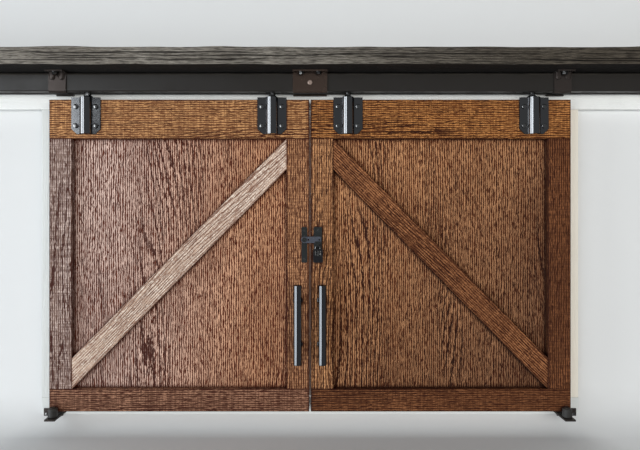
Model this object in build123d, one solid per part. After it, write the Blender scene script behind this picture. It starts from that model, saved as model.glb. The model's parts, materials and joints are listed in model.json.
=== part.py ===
from build123d import *
import math
import os

# A pair of sliding barn doors over a serving window, with the white trim frame that carries them.
# All sizes are millimetres. +Z is up and +X is to the right of someone who faces the doors.
# The back of the trim is the plane Y = 0 and everything stands out from it towards -Y. A "depth" is
# a distance out from that plane. The leaves meet at X = 0, and their bottom edges are at Z = 0.
# A "reach" is a distance from the meeting line, the same for both leaves.

# Leaves
leaf_width = 762.0
leaf_height = 914.4
meeting_gap = 5.0
leaf_gap_to_trim = 11.0
panel_thickness = 16.0
board_thickness = 19.0
stile_width = 66.0
bottom_rail_height = 66.0
top_rail_height = 114.3
brace_cut_length = 89.0
board_ease = 1.2

# Trim frame round the window
trim_thickness = 19.0
casing_width = 89.0
casing_reveal = 43.5
header_height = 184.0
header_overlap = 20.4
sill_height = 89.0
sill_overlap = 27.0
header_overrun = 6.0
trim_ease = 1.5

# Hood timber over the rail
hood_depth = 140.0
hood_height = 55.0
hood_ease = 3.0

# Box rail
rail_width = 57.0
rail_height = 52.0
rail_sheet = 3.0
rail_slot = 20.0
rail_corner = 5.0
rail_door_gap = 21.4
rail_tail = 75.0
door_travel = 720.0

# Rail brackets
bracket_sheet = 4.0
bracket_fit = 0.2
bracket_width = 50.0
bracket_lip = 9.0
bracket_bend = 4.0
side_bracket_reach = 733.0
end_bracket_inset = 44.0
splice_width = 100.0
splice_corner = 3.0
ear_reach = 26.0
bead_width = 17.0
bead_rise = 6.0
bead_length = 21.0
bead_offset = 13.7
bead_wall = 3.0
bead_round_rest = 0.8

# Lag screws into the hood timber, and the clamp screw of the splice
lag_radius = 4.0
lag_length = 46.0
lag_head_flats = 13.0
lag_head_height = 8.0
lag_washer_radius = 8.5
lag_washer_height = 1.6
lag_hole_clearance = 0.4
pilot_clearance = 0.1
splice_lag_offset = 24.8
clamp_head_radius = 7.5
clamp_head_rise = 4.0
clamp_head_round = 3.4
clamp_drop = 32.0

# Rail stops
stop_gap = 3.3
stop_length = 24.0
stop_height = 30.0
stop_side_gap = 3.0
stop_neck_gap = 1.0
stop_plate_height = 5.0

# Trolleys
wheel_radius = 18.5
wheel_width = 11.0
wheel_pitch = 60.0
wheel_rest_gap = 0.3
wheel_hub_radius = 7.5
wheel_hub_gap = 0.3
wheel_recess = 2.0
wheel_rim = 4.0
wheel_bore_clearance = 0.06
wheel_inset = 3.5
wheel_ease = 1.0
truck_thickness = 14.0
truck_end_radius = 12.0
truck_boss_width = 30.0
truck_boss_drop = 5.0
axle_radius = 4.0
axle_head_radius = 6.5
axle_head_height = 2.0
pendant_radius = 5.0
pendant_below_nut = 12.0

# Hangers
hanger_inset = 108.8
apron_height = 107.0
apron_above_leaf = 6.0
apron_sheet = 3.0
apron_chamfer = 15.0
half_round_radius = 18.0
half_round_rise = 19.0
cap_radius = 19.5
cap_plate = 4.0
cap_boss_height = 7.0
cap_boss_top_radius = 11.5
pendant_hole_clearance = 0.2
nut_flats = 16.0
nut_height = 6.0
nut_clearance = 0.1
nut_pocket_radius = 12.0
nut_pocket_depth = 36.0

# Bolts that hold the hangers to the leaves
hanger_bolt_radius = 4.0
hanger_bolt_flats = 13.0
hanger_bolt_head = 5.3
hanger_bolt_nut = 6.0
hanger_bolt_tail = 1.2
hanger_bolt_clearance = 0.2
hanger_bolt_span = 58.0
hanger_bolt_edge = 13.5
hanger_bolt_rise = 56.0
hanger_bolt_drop = 27.0

# Pull handles
handle_inset = 33.0
handle_height = 262.0
handle_radius = 12.0
handle_length = 228.0
handle_standoff = 45.0
handle_post_span = 128.0
handle_post_radius = 7.0
handle_foot_radius = 14.0
handle_foot_height = 4.0
handle_end_round = 2.0
handle_screw_radius = 3.0
handle_screw_clearance = 0.1
handle_screw_head_radius = 7.0
handle_screw_head_height = 3.0

# Flip latch across the meeting line
latch_height = 489.0
latch_plate_height = 104.0
latch_plate_thickness = 3.0
latch_plate_width = 16.3
latch_plate_inset = 6.0
keeper_plate_width = 24.0
keeper_plate_inset = 8.5
latch_plate_round = 2.0
flip_bar_height = 18.4
flip_bar_thickness = 5.0
flip_bar_above_centre = 14.8
flip_bar_end_inset = 2.3
flip_bar_face_gap = 0.4
flip_bar_rest_gap = 0.3
flip_bar_round = 4.0
flip_bar_hole_radius = 2.6
flip_bar_hole_reaches = (-4.8, 27.5)
rivet_radius = 4.0
rivet_clearance = 0.06
rivet_head_radius = 7.0
rivet_head_height = 2.0
keeper_shelf = 3.0
keeper_lip_gap = 0.6
keeper_lip_thickness = 3.0
keeper_lip_height = 5.0
keeper_lip_inset = 4.0

# Lug under the keeper, and the combination padlock that hangs in it
lug_thickness = 3.0
lug_eye_radius = 3.5
lug_wall = 2.0
lug_eye_drop = 4.3
lug_eye_depth = 6.5
shackle_radius = 2.25
shackle_bend = 7.0
shackle_rest_gap = 0.5
shackle_neck = 1.3
shackle_long_leg = 17.0
shackle_short_leg = 7.0
shackle_fit = 0.06
shackle_end_room = 1.0
lock_width = 27.0
lock_height = 39.0
lock_thickness = 20.0
lock_back_room = 2.0
lock_round = 3.0
dial_radius = 6.8
dial_width = 6.0
dial_pitch = 6.6
dial_count = 3
dial_drop = 12.5
dial_proud = 1.8
dial_room = 0.6
dial_ease = 0.6
spindle_radius = 2.0
spindle_clearance = 0.06

# Bottom guides
guide_inset = 17.0
guide_flange_length = 58.0
guide_flange_height = 24.0
guide_flange_sheet = 4.0
guide_flange_shift = 23.0
guide_tongue_width = 30.0
guide_tongue_sheet = 5.0
guide_tongue_drop = 11.0
guide_tongue_overhang = 9.5
guide_flange_rise = 6.0
roller_radius = 13.5
roller_height = 25.0
roller_leaf_gap = 0.4
roller_end_gap = 0.3
roller_ease = 1.5
roller_bore_clearance = 0.06
guide_axle_radius = 4.0
guide_axle_head_radius = 8.0
guide_axle_head_height = 3.0
guide_screw_radius = 2.5
guide_screw_length = 16.0
guide_screw_head_radius = 5.0
guide_screw_head_height = 2.5
guide_screw_inset = 8.0
guide_screw_edge = 7.0
guide_screw_clearance = 0.1

# Places that follow from the sizes above
leaf_inner = meeting_gap / 2
leaf_outer = leaf_inner + leaf_width
leaf_back = trim_thickness + leaf_gap_to_trim
panel_front = leaf_back + panel_thickness
leaf_front = panel_front + board_thickness
top_rail_bottom = leaf_height - top_rail_height
casing_outer = leaf_outer + casing_reveal
casing_inner = casing_outer - casing_width
header_bottom = leaf_height - header_overlap
header_top = header_bottom + header_height
sill_bottom = sill_overlap - sill_height
rail_bottom = leaf_height + rail_door_gap
rail_top = rail_bottom + rail_height
hood_bottom = rail_top + bracket_fit + bracket_sheet
rail_depth = trim_thickness + bracket_sheet + bracket_fit + rail_width / 2
hanger_outer = leaf_outer - hanger_inset
hanger_inner = leaf_inner + hanger_inset
trolley_half = wheel_pitch / 2 + wheel_radius
stop_face = hanger_outer + trolley_half + door_travel + stop_gap
rail_half = stop_face + stop_length + rail_tail
header_half = rail_half + header_overrun
wheel_height = rail_bottom + rail_sheet + wheel_rest_gap + wheel_radius
wheel_outer_face = rail_width / 2 - rail_sheet - wheel_inset
wheel_inner_face = wheel_outer_face - wheel_width


def slab(reach_a, reach_b, low, high, depth, thickness):
    """A straight board with its back face at the given depth."""
    middle = ((reach_a + reach_b) / 2, -(depth + thickness / 2), (low + high) / 2)
    return Pos(*middle) * Box(reach_b - reach_a, thickness, high - low)


def ease_front(board, ease):
    """Takes the sharp corner off the edges of a board's front face."""
    front = board.faces().sort_by(Axis.Y)[0]
    return chamfer(front.edges(), ease)


def ease_long(board, ease):
    """Takes the sharp corner off the edges that run the length of a board."""
    return chamfer(board.edges().filter_by(Axis.X), ease)


def pin_out(reach, height, depth_a, depth_b, radius):
    """A round pin that points straight out to the front."""
    middle = Pos(reach, -(depth_a + depth_b) / 2, height)
    return middle * Rot(90, 0, 0) * Cylinder(radius, depth_b - depth_a)


def pin_up(reach, depth, low, high, radius):
    """A round pin that stands upright."""
    return Pos(reach, -depth, (low + high) / 2) * Cylinder(radius, high - low)


def pin_across(reach_a, reach_b, depth, height, radius):
    """A round pin that lies across the doors."""
    middle = Pos((reach_a + reach_b) / 2, -depth, height)
    return middle * Rot(0, 90, 0) * Cylinder(radius, reach_b - reach_a)


def hexagon_up(reach, depth, low, high, flats):
    """A hexagon head or nut on an upright axis."""
    outline = RegularPolygon(flats / 2, 6, major_radius=False)
    return extrude(Pos(reach, -depth, low) * outline, high - low)


def hexagon_out(reach, height, depth_a, depth_b, flats):
    """A hexagon head or nut on an axis that points out to the front."""
    outline = RegularPolygon(flats / 2, 6, major_radius=False)
    return extrude(Plane.XZ.offset(depth_a) * Pos(reach, height) * outline, depth_b - depth_a)


# Trim frame

def make_header_board():
    board = slab(-header_half, header_half, header_bottom, header_top, 0, trim_thickness)
    return ease_front(board, trim_ease)


def make_casing():
    board = slab(casing_inner, casing_outer, sill_overlap, header_bottom, 0, trim_thickness)
    return ease_front(board, trim_ease)


def make_sill_board():
    board = slab(-casing_outer, casing_outer, sill_bottom, sill_overlap, 0, trim_thickness)
    board = ease_front(board, trim_ease)
    for place in guide_screw_places():
        for side in (-1, 1):
            bore = guide_screw_radius + guide_screw_clearance
            end = trim_thickness - guide_screw_length - guide_screw_clearance
            board -= pin_out(side * place[0], place[1], end, trim_thickness, bore)
    return board


# Hood timber, with pilot holes for the lag screws

def lag_places():
    """Reach of each lag screw: one in each side bracket and two in the splice."""
    reaches = [-splice_lag_offset, splice_lag_offset]
    for reach in bracket_reaches():
        reaches += [-reach, reach]
    return reaches


def bracket_reaches():
    return [side_bracket_reach, rail_half - end_bracket_inset]


lag_depth = rail_depth + rail_width / 2 + bracket_fit + bracket_sheet + ear_reach / 2


def make_hood_beam():
    top = hood_bottom + hood_height
    beam = slab(-header_half, header_half, hood_bottom, top, trim_thickness, hood_depth)
    beam = ease_long(beam, hood_ease)
    bore = lag_radius + pilot_clearance
    hole_top = hood_bottom + lag_length + pilot_clearance
    for reach in lag_places():
        beam -= pin_up(reach, lag_depth, hood_bottom, hole_top, bore)
    return beam


def make_lag_screws():
    """Hexagon lag screws with washers, each up through an ear into the hood timber."""
    screws = []
    under_ear = hood_bottom - bracket_sheet
    head_top = under_ear - lag_washer_height
    for reach in lag_places():
        shank = pin_up(reach, lag_depth, head_top, hood_bottom + lag_length, lag_radius)
        washer = pin_up(reach, lag_depth, head_top, under_ear, lag_washer_radius)
        head = hexagon_up(reach, lag_depth, head_top - lag_head_height, head_top, lag_head_flats)
        screws.append(shank + washer + head)
    return screws


# Box rail: a folded channel, closed on top, with the trolley slot underneath

def make_rail():
    middle = Pos(-rail_depth, rail_bottom + rail_height / 2)
    outer = middle * RectangleRounded(rail_width, rail_height, rail_corner)
    hollow_width = rail_width - 2 * rail_sheet
    hollow_height = rail_height - 2 * rail_sheet
    inner = middle * RectangleRounded(hollow_width, hollow_height, rail_corner - rail_sheet)
    slot = Pos(-rail_depth, rail_bottom) * Rectangle(rail_slot, 3 * rail_sheet)
    return extrude(Plane.YZ * (outer - inner - slot), rail_half)


def saddle(width):
    """The strap that wraps the rail, open at the slot, with an ear under the hood timber."""
    middle = Pos(-rail_depth, (rail_bottom + rail_top) / 2)
    inner_width = rail_width + 2 * bracket_fit
    inner_height = rail_height + 2 * bracket_fit
    outer_width = inner_width + 2 * bracket_sheet
    outer_height = inner_height + 2 * bracket_sheet
    outer = middle * RectangleRounded(outer_width, outer_height, bracket_bend + bracket_sheet)
    inner = middle * RectangleRounded(inner_width, inner_height, bracket_bend)
    mouth = inner_width - 2 * bracket_lip
    opening = Pos(-rail_depth, rail_bottom) * Rectangle(mouth, 4 * bracket_sheet)
    ear_length = outer_width / 2 + ear_reach
    ear_middle = Pos(-(rail_depth + ear_length / 2), hood_bottom - bracket_sheet / 2)
    ear = ear_middle * Rectangle(ear_length, bracket_sheet)
    strip = extrude(Plane.YZ * (outer + ear - inner - opening), width)
    return Pos(-width / 2, 0, 0) * strip


def ear_hole(reach):
    bore = lag_radius + lag_hole_clearance
    return pin_up(reach, lag_depth, hood_bottom - 2 * bracket_sheet, hood_bottom, bore)


saddle_front = rail_depth + rail_width / 2 + bracket_fit + bracket_sheet


def bead_outline(reach, top, end, width):
    """An upright slot outline with a square top and a round lower end."""
    straight = Pos(reach, (top + end + width / 2) / 2) * Rectangle(width, top - end - width / 2)
    return straight + Pos(reach, end + width / 2) * Circle(width / 2)


def pressed_bead(reach):
    """One upright bead pressed into the front of a bracket, and the hollow behind it."""
    top = hood_bottom - bracket_sheet
    end = top - bead_length
    plane = Plane.XZ.offset(saddle_front)
    bead = extrude(plane * bead_outline(reach, top, end, bead_width), bead_rise)
    front = bead.faces().sort_by(Axis.Y)[0]
    rounded = front.edges().sort_by(Axis.Z)[:-1]
    bead = fillet(rounded, bead_rise - bead_round_rest)
    back = Plane.XZ.offset(saddle_front - bracket_sheet)
    hollow_width = bead_width - 2 * bead_wall
    hollow = bead_outline(reach, top - bead_wall, end + bead_wall, hollow_width)
    return bead, extrude(back * hollow, bead_rise)


def make_rail_bracket(reach):
    bracket = saddle(bracket_width)
    for offset in (-bead_offset, bead_offset):
        bead, hollow = pressed_bead(offset)
        bracket = bracket + bead - hollow
    bracket -= ear_hole(0)
    return Pos(reach, 0, 0) * bracket


def make_rail_brackets():
    brackets = []
    for reach in bracket_reaches():
        brackets.append(make_rail_bracket(reach))
        brackets.append(make_rail_bracket(-reach))
    return brackets


clamp_height = hood_bottom - clamp_drop


def clipped_corner(reach, height, depth, thickness, size):
    """A wedge that clips an outer corner. The corner is at the given reach and height."""
    toward = -size if reach > 0 else size
    outline = Polyline((reach, height), (reach + toward, height), (reach, height + size), close=True)
    face = make_face(Plane.XZ.offset(depth) * outline)
    return extrude(face, thickness, both=True)


def make_splice_bracket():
    """The wide bracket over the rail joint, with the round-head screw that clamps both ends."""
    bracket = saddle(splice_width)
    bracket -= ear_hole(-splice_lag_offset)
    bracket -= ear_hole(splice_lag_offset)
    low = rail_bottom - bracket_fit - bracket_sheet
    for side in (-1, 1):
        bracket -= clipped_corner(side * splice_width / 2, low, saddle_front, bracket_lip, splice_corner)
    front = saddle_front + clamp_head_rise
    head = pin_out(0, clamp_height, saddle_front, front, clamp_head_radius)
    return bracket + fillet(head.edges().sort_by(Axis.Y)[0], clamp_head_round)


def make_rail_stop():
    """A stop clamped in the slot: a block on the flanges, a neck, a plate and its bolt head."""
    flange = rail_bottom + rail_sheet
    half = rail_width / 2 - rail_sheet - stop_side_gap
    end = stop_face + stop_length
    middle = (stop_face + end) / 2
    block = slab(stop_face, end, flange, flange + stop_height, rail_depth - half, 2 * half)
    neck_half = rail_slot / 2 - stop_neck_gap
    neck = slab(stop_face, end, rail_bottom, flange, rail_depth - neck_half, 2 * neck_half)
    plate_low = rail_bottom - stop_plate_height
    plate = slab(stop_face, end, plate_low, rail_bottom, rail_depth - half, 2 * half)
    head = hexagon_up(middle, rail_depth, plate_low - lag_head_height, plate_low, lag_head_flats)
    return block + neck + plate + head


# Leaf boards

def make_panel():
    panel = slab(leaf_inner, leaf_outer, 0, leaf_height, leaf_back, panel_thickness)
    return panel - nut_pockets() - handle_screw_holes(panel_front)


def make_top_rail():
    low = top_rail_bottom
    rail = slab(leaf_inner, leaf_outer, low, leaf_height, panel_front, board_thickness)
    rail = ease_front(rail, board_ease)
    return rail - nut_pockets()


def make_bottom_rail():
    rail = slab(leaf_inner, leaf_outer, 0, bottom_rail_height, panel_front, board_thickness)
    return ease_front(rail, board_ease)


def make_stile(reach):
    low = bottom_rail_height
    high = top_rail_bottom
    stile = slab(reach, reach + stile_width, low, high, panel_front, board_thickness)
    return ease_front(stile, board_ease)


def make_brace():
    """The diagonal, cut upright at both ends to fit between the stiles."""
    inner = leaf_inner + stile_width
    outer = leaf_outer - stile_width
    low = bottom_rail_height
    high = top_rail_bottom
    outline = Polyline(
        (outer, low),
        (outer, low + brace_cut_length),
        (inner, high),
        (inner, high - brace_cut_length),
        close=True,
    )
    face = make_face(Plane.XZ.offset(panel_front) * outline)
    brace = extrude(face, board_thickness)
    return ease_front(brace, board_ease)


def hanger_bolt_places(centre):
    """Reach and height of the four bolts of one hanger."""
    high = apron_top - hanger_bolt_drop
    places = []
    for side in (-1, 1):
        for height in (high, high - hanger_bolt_rise):
            places.append((centre + side * hanger_bolt_span / 2, height))
    return places


def nut_pockets():
    """Bores in the leaf's top edge for the pendant bolts, and the holes for the hanger bolts."""
    low = leaf_height - nut_pocket_depth
    bore = hanger_bolt_radius + hanger_bolt_clearance
    cutters = []
    for centre in (hanger_inner, hanger_outer):
        cutters.append(pin_up(centre, rail_depth, low, leaf_height, nut_pocket_radius))
        for reach, height in hanger_bolt_places(centre):
            cutters.append(pin_out(reach, height, leaf_back, leaf_front, bore))
    return cutters


# Hangers: a folded apron with a half-round, closed by a cap that carries the pendant bolt

apron_top = leaf_height + apron_above_leaf
apron_width = hanger_bolt_span + 2 * hanger_bolt_edge
cap_bottom = apron_top - cap_plate
boss_top = apron_top + cap_boss_height


def make_hanger(centre):
    back = leaf_front
    front = back + half_round_rise
    round_depth = front - half_round_radius
    low = apron_top - apron_height
    plate = Pos(centre, -(back + apron_sheet / 2)) * Rectangle(apron_width, apron_sheet)
    outer = bulge_outline(centre, back, round_depth, half_round_radius)
    inner = bulge_outline(centre, back, round_depth, half_round_radius - apron_sheet)
    hanger = extrude(Pos(0, 0, low) * (plate + outer - inner), apron_height)
    for side in (-1, 1):
        edge = centre + side * apron_width / 2
        corner = Polyline(
            (edge, low), (edge - side * apron_chamfer, low), (edge, low + apron_chamfer), close=True
        )
        face = make_face(Plane.XZ.offset(back) * corner)
        hanger -= extrude(face, 2 * apron_sheet, both=True)
    cap = Pos(centre, -rail_depth) * Circle(cap_radius)
    cap += bulge_outline(centre, rail_depth, round_depth, half_round_radius)
    hanger += extrude(Pos(0, 0, cap_bottom) * cap, cap_plate)
    boss_middle = Pos(centre, -rail_depth, (apron_top + boss_top) / 2)
    hanger += boss_middle * Cone(cap_radius, cap_boss_top_radius, cap_boss_height)
    bore = pendant_radius + pendant_hole_clearance
    hanger -= pin_up(centre, rail_depth, cap_bottom, boss_top, bore)
    for reach, height in hanger_bolt_places(centre):
        hole = hanger_bolt_radius + hanger_bolt_clearance
        hanger -= pin_out(reach, height, back, back + apron_sheet, hole)
    return hanger


def bulge_outline(centre, back, round_depth, radius):
    """A half-round seen from above, with straight sides back to the given depth."""
    middle = (back + round_depth) / 2
    sides = Pos(centre, -middle) * Rectangle(2 * radius, round_depth - back)
    circle = Pos(centre, -round_depth) * Circle(radius)
    behind = Pos(centre, -(back - radius)) * Rectangle(2 * radius, 2 * radius)
    return sides + circle - behind


def make_pendant_nuts():
    """A nut above and a nut below the cap of each hanger."""
    nuts = []
    bore = pendant_radius + nut_clearance
    for centre in (hanger_inner, hanger_outer):
        for low in (boss_top, cap_bottom - nut_height):
            nut = hexagon_up(centre, rail_depth, low, low + nut_height, nut_flats)
            nuts.append(nut - pin_up(centre, rail_depth, low, low + nut_height, bore))
    return nuts


def make_hanger_bolts():
    """Hexagon bolts through apron and leaf, each with its nut behind the panel."""
    pieces = []
    head_back = leaf_front + apron_sheet
    nut_back = leaf_back - hanger_bolt_nut
    tail = nut_back - hanger_bolt_tail
    for centre in (hanger_inner, hanger_outer):
        for reach, height in hanger_bolt_places(centre):
            shank = pin_out(reach, height, tail, head_back, hanger_bolt_radius)
            head_front = head_back + hanger_bolt_head
            head = hexagon_out(reach, height, head_back, head_front, hanger_bolt_flats)
            pieces.append(shank + head)
            nut = hexagon_out(reach, height, nut_back, leaf_back, hanger_bolt_flats)
            bore = hanger_bolt_radius + nut_clearance
            pieces.append(nut - pin_out(reach, height, nut_back, leaf_back, bore))
    return pieces


# Trolleys: a flat truck with two riveted axles and the pendant bolt, and four wheels

def make_trolley(centre):
    half_pitch = wheel_pitch / 2
    ends = Pos(centre - half_pitch, wheel_height) * Circle(truck_end_radius)
    ends += Pos(centre + half_pitch, wheel_height) * Circle(truck_end_radius)
    web = Pos(centre, wheel_height) * Rectangle(wheel_pitch, 2 * truck_end_radius)
    boss_bottom = wheel_height - truck_end_radius - truck_boss_drop
    boss = make_face(
        Polyline(
            (centre - truck_boss_width / 2, wheel_height),
            (centre + truck_boss_width / 2, wheel_height),
            (centre + truck_end_radius, boss_bottom),
            (centre - truck_end_radius, boss_bottom),
            close=True,
        )
    )
    side = Plane.XZ.offset(rail_depth - truck_thickness / 2)
    truck = extrude(side * (ends + web + boss), truck_thickness)
    axle_end = wheel_outer_face + wheel_hub_gap
    for offset in (-half_pitch, half_pitch):
        reach = centre + offset
        near = rail_depth - axle_end
        far = rail_depth + axle_end
        truck += pin_out(reach, wheel_height, near, far, axle_radius)
        truck += pin_out(reach, wheel_height, near - axle_head_height, near, axle_head_radius)
        truck += pin_out(reach, wheel_height, far, far + axle_head_height, axle_head_radius)
    bolt_end = cap_bottom - nut_height - pendant_below_nut
    return truck + pin_up(centre, rail_depth, bolt_end, wheel_height, pendant_radius)


def make_wheel(reach, side):
    """One turned wheel: flat tread, recessed outer face and a hub that runs to the truck."""
    bore = axle_radius + wheel_bore_clearance
    hub_face = truck_thickness / 2 + wheel_hub_gap
    rim_inner = wheel_radius - wheel_rim
    profile = Polyline(
        (bore, hub_face),
        (wheel_hub_radius, hub_face),
        (wheel_hub_radius, wheel_inner_face),
        (wheel_radius - wheel_ease, wheel_inner_face),
        (wheel_radius, wheel_inner_face + wheel_ease),
        (wheel_radius, wheel_outer_face - wheel_ease),
        (wheel_radius - wheel_ease, wheel_outer_face),
        (rim_inner, wheel_outer_face),
        (rim_inner - wheel_recess, wheel_outer_face - wheel_recess),
        (wheel_hub_radius + wheel_recess, wheel_outer_face - wheel_recess),
        (wheel_hub_radius, wheel_outer_face),
        (bore, wheel_outer_face),
        close=True,
    )
    wheel = revolve(make_face(profile), Axis.Y)
    turn = Rot(0, 0, 0) if side > 0 else Rot(180, 0, 0)
    return Pos(reach, -rail_depth, wheel_height) * turn * wheel


def make_wheel_pair(reach):
    return [make_wheel(reach, 1), make_wheel(reach, -1)]


# Pull handle: a round bar on two posts, welded as one piece

def make_handle():
    reach = leaf_inner + handle_inset
    bar_depth = leaf_front + handle_standoff
    low = handle_height - handle_length / 2
    bar = pin_up(reach, bar_depth, low, low + handle_length, handle_radius)
    bar = fillet(bar.edges().filter_by(GeomType.CIRCLE), handle_end_round)
    for side in (-1, 1):
        height = handle_height + side * handle_post_span / 2
        bar += pin_out(reach, height, leaf_front, bar_depth, handle_post_radius)
        foot_front = leaf_front + handle_foot_height
        foot = pin_out(reach, height, leaf_front, foot_front, handle_foot_radius)
        bar += chamfer(foot.edges().sort_by(Axis.Y)[0], handle_foot_height / 4)
    return bar


def make_handle_screws():
    """The pan-head screws behind the panel that hold the posts of the handle."""
    screws = []
    reach = leaf_inner + handle_inset
    for side in (-1, 1):
        height = handle_height + side * handle_post_span / 2
        head_back = leaf_back - handle_screw_head_height
        screw = pin_out(reach, height, head_back, leaf_back, handle_screw_head_radius)
        screw = fillet(screw.edges().sort_by(Axis.Y)[-1], handle_screw_head_height / 2)
        screw += pin_out(reach, height, leaf_back, leaf_front, handle_screw_radius)
        screws.append(screw)
    return screws


def handle_screw_holes(front):
    """The holes for the handle screws through the boards behind the given depth."""
    reach = leaf_inner + handle_inset
    bore = handle_screw_radius + handle_screw_clearance
    holes = []
    for side in (-1, 1):
        height = handle_height + side * handle_post_span / 2
        holes.append(pin_out(reach, height, leaf_back, front, bore))
    return holes


# Flip latch: the left leaf carries the plate and bar, the right leaf the keeper

latch_plate_front = leaf_front + latch_plate_thickness
bar_back = latch_plate_front + flip_bar_face_gap
bar_front = bar_back + flip_bar_thickness
pivot_reach = -(leaf_inner + latch_plate_inset + latch_plate_width / 2)
pivot_height = latch_height + flip_bar_above_centre
bar_low = pivot_height - flip_bar_height / 2
keeper_inner = leaf_inner + keeper_plate_inset
keeper_outer = keeper_inner + keeper_plate_width
keeper_middle = (keeper_inner + keeper_outer) / 2


def latch_plate(reach_a, reach_b):
    half = latch_plate_height / 2
    low = latch_height - half
    high = latch_height + half
    plate = slab(reach_a, reach_b, low, high, leaf_front, latch_plate_thickness)
    return fillet(plate.edges().filter_by(Axis.Y), latch_plate_round)


def make_latch_plate():
    """The plate on the left leaf, with the shouldered rivet that the bar turns on."""
    half = latch_plate_width / 2
    plate = latch_plate(pivot_reach - half, pivot_reach + half)
    head_back = bar_front + flip_bar_rest_gap
    head_front = head_back + rivet_head_height
    plate += pin_out(pivot_reach, pivot_height, leaf_front, head_back, rivet_radius)
    head = pin_out(pivot_reach, pivot_height, head_back, head_front, rivet_head_radius)
    return plate + chamfer(head.edges().sort_by(Axis.Y)[0], rivet_head_height / 2)


def make_latch_bar():
    half = flip_bar_height / 2
    end = keeper_outer - flip_bar_end_inset
    bar = slab(pivot_reach, end, bar_low, bar_low + flip_bar_height, bar_back, flip_bar_thickness)
    corners = bar.edges().filter_by(Axis.Y).sort_by(Axis.X)[-2:]
    bar = fillet(corners, flip_bar_round)
    bar += pin_out(pivot_reach, pivot_height, bar_back, bar_front, half)
    bar -= pin_out(pivot_reach, pivot_height, bar_back, bar_front, rivet_radius + rivet_clearance)
    for reach in flip_bar_hole_reaches:
        bar -= pin_out(reach, pivot_height, bar_back, bar_front, flip_bar_hole_radius)
    return bar


shelf_top = bar_low - flip_bar_rest_gap
shelf_bottom = shelf_top - keeper_shelf
lip_back = bar_front + keeper_lip_gap
lip_front = lip_back + keeper_lip_thickness
eye_height = shelf_bottom - lug_eye_drop
eye_depth = latch_plate_front + lug_eye_depth


def make_keeper_plate():
    """The keeper: a plate, a shelf with a low lip under the bar, and a lug for the padlock."""
    keeper = latch_plate(keeper_inner, keeper_outer)
    lip_from = keeper_inner + keeper_lip_inset
    lip_to = keeper_outer - keeper_lip_inset
    shelf_depth = lip_front - leaf_front
    keeper += slab(lip_from, lip_to, shelf_bottom, shelf_top, leaf_front, shelf_depth)
    lip_high = shelf_top + keeper_lip_height
    keeper += slab(lip_from, lip_to, shelf_bottom, lip_high, lip_back, keeper_lip_thickness)
    lug_radius = lug_eye_radius + lug_wall
    left = keeper_middle - lug_thickness / 2
    right = keeper_middle + lug_thickness / 2
    lug = pin_across(left, right, eye_depth, eye_height, lug_radius)
    lug_low = eye_height - lug_radius
    lug += slab(left, right, lug_low, shelf_top, leaf_front, eye_depth - leaf_front)
    keeper += lug
    return keeper - pin_across(left, right, eye_depth, eye_height, lug_eye_radius)


# Combination padlock, hanging in the lug

apex_height = eye_height - lug_eye_radius + shackle_rest_gap + shackle_radius
bend_height = apex_height - shackle_bend
lock_top = bend_height - shackle_neck
lock_back = latch_plate_front + lock_back_room
lock_front = lock_back + lock_thickness
dial_height = lock_top - dial_drop
dial_depth = lock_front + dial_proud - dial_radius


def make_padlock_shackle():
    """A bent rod with a long leg that stays in the body and a short leg that the lock frees."""
    left = keeper_middle - shackle_bend
    right = keeper_middle + shackle_bend
    long_foot = lock_top - shackle_long_leg
    short_foot = lock_top - shackle_short_leg
    path = Line((left, long_foot), (left, bend_height))
    path += CenterArc((keeper_middle, bend_height), shackle_bend, 0, 180)
    path += Line((right, bend_height), (right, short_foot))
    route = Plane.XZ.offset(eye_depth) * path
    start = Plane(origin=(left, -eye_depth, long_foot), z_dir=(0, 0, 1))
    return sweep(start * Circle(shackle_radius), path=route)


def make_padlock_body():
    half = lock_width / 2
    low = lock_top - lock_height
    left = keeper_middle - half
    right = keeper_middle + half
    body = slab(left, right, low, lock_top, lock_back, lock_thickness)
    body = fillet(body.edges().filter_by(Axis.Y), lock_round)
    dials_half = dial_count * dial_pitch / 2
    pocket_half = dial_radius + dial_room
    pocket_back = dial_depth - dial_radius - dial_room / 2
    body -= slab(
        keeper_middle - dials_half,
        keeper_middle + dials_half,
        dial_height - pocket_half,
        dial_height + pocket_half,
        pocket_back,
        lock_front - pocket_back,
    )
    body += pin_across(
        keeper_middle - dials_half, keeper_middle + dials_half, dial_depth, dial_height, spindle_radius
    )
    bore = shackle_radius + shackle_fit
    for offset, leg in ((-shackle_bend, shackle_long_leg), (shackle_bend, shackle_short_leg)):
        foot = lock_top - leg - shackle_end_room
        body -= pin_up(keeper_middle + offset, eye_depth, foot, lock_top, bore)
    return body


def make_dial(index):
    middle = keeper_middle + (index - (dial_count - 1) / 2) * dial_pitch
    left = middle - dial_width / 2
    right = middle + dial_width / 2
    dial = pin_across(left, right, dial_depth, dial_height, dial_radius)
    dial = chamfer(dial.edges().filter_by(GeomType.CIRCLE), dial_ease)
    return dial - pin_across(left, right, dial_depth, dial_height, spindle_radius + spindle_clearance)


# Bottom guides: a bracket on the sill board, with a roller in front of the leaf

guide_reach = leaf_outer - guide_inset
roller_depth = leaf_front + roller_leaf_gap + roller_radius
tongue_top = -guide_tongue_drop
roller_low = tongue_top + roller_end_gap
roller_high = roller_low + roller_height
flange_middle = guide_reach + guide_flange_shift
flange_top = tongue_top + guide_flange_rise
flange_front = trim_thickness + guide_flange_sheet


def guide_screw_places():
    """Reach and height of the two screws in one guide bracket."""
    half = guide_flange_length / 2 - guide_screw_inset
    height = flange_top - guide_flange_height + guide_screw_edge
    return [(flange_middle - half, height), (flange_middle + half, height)]


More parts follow.
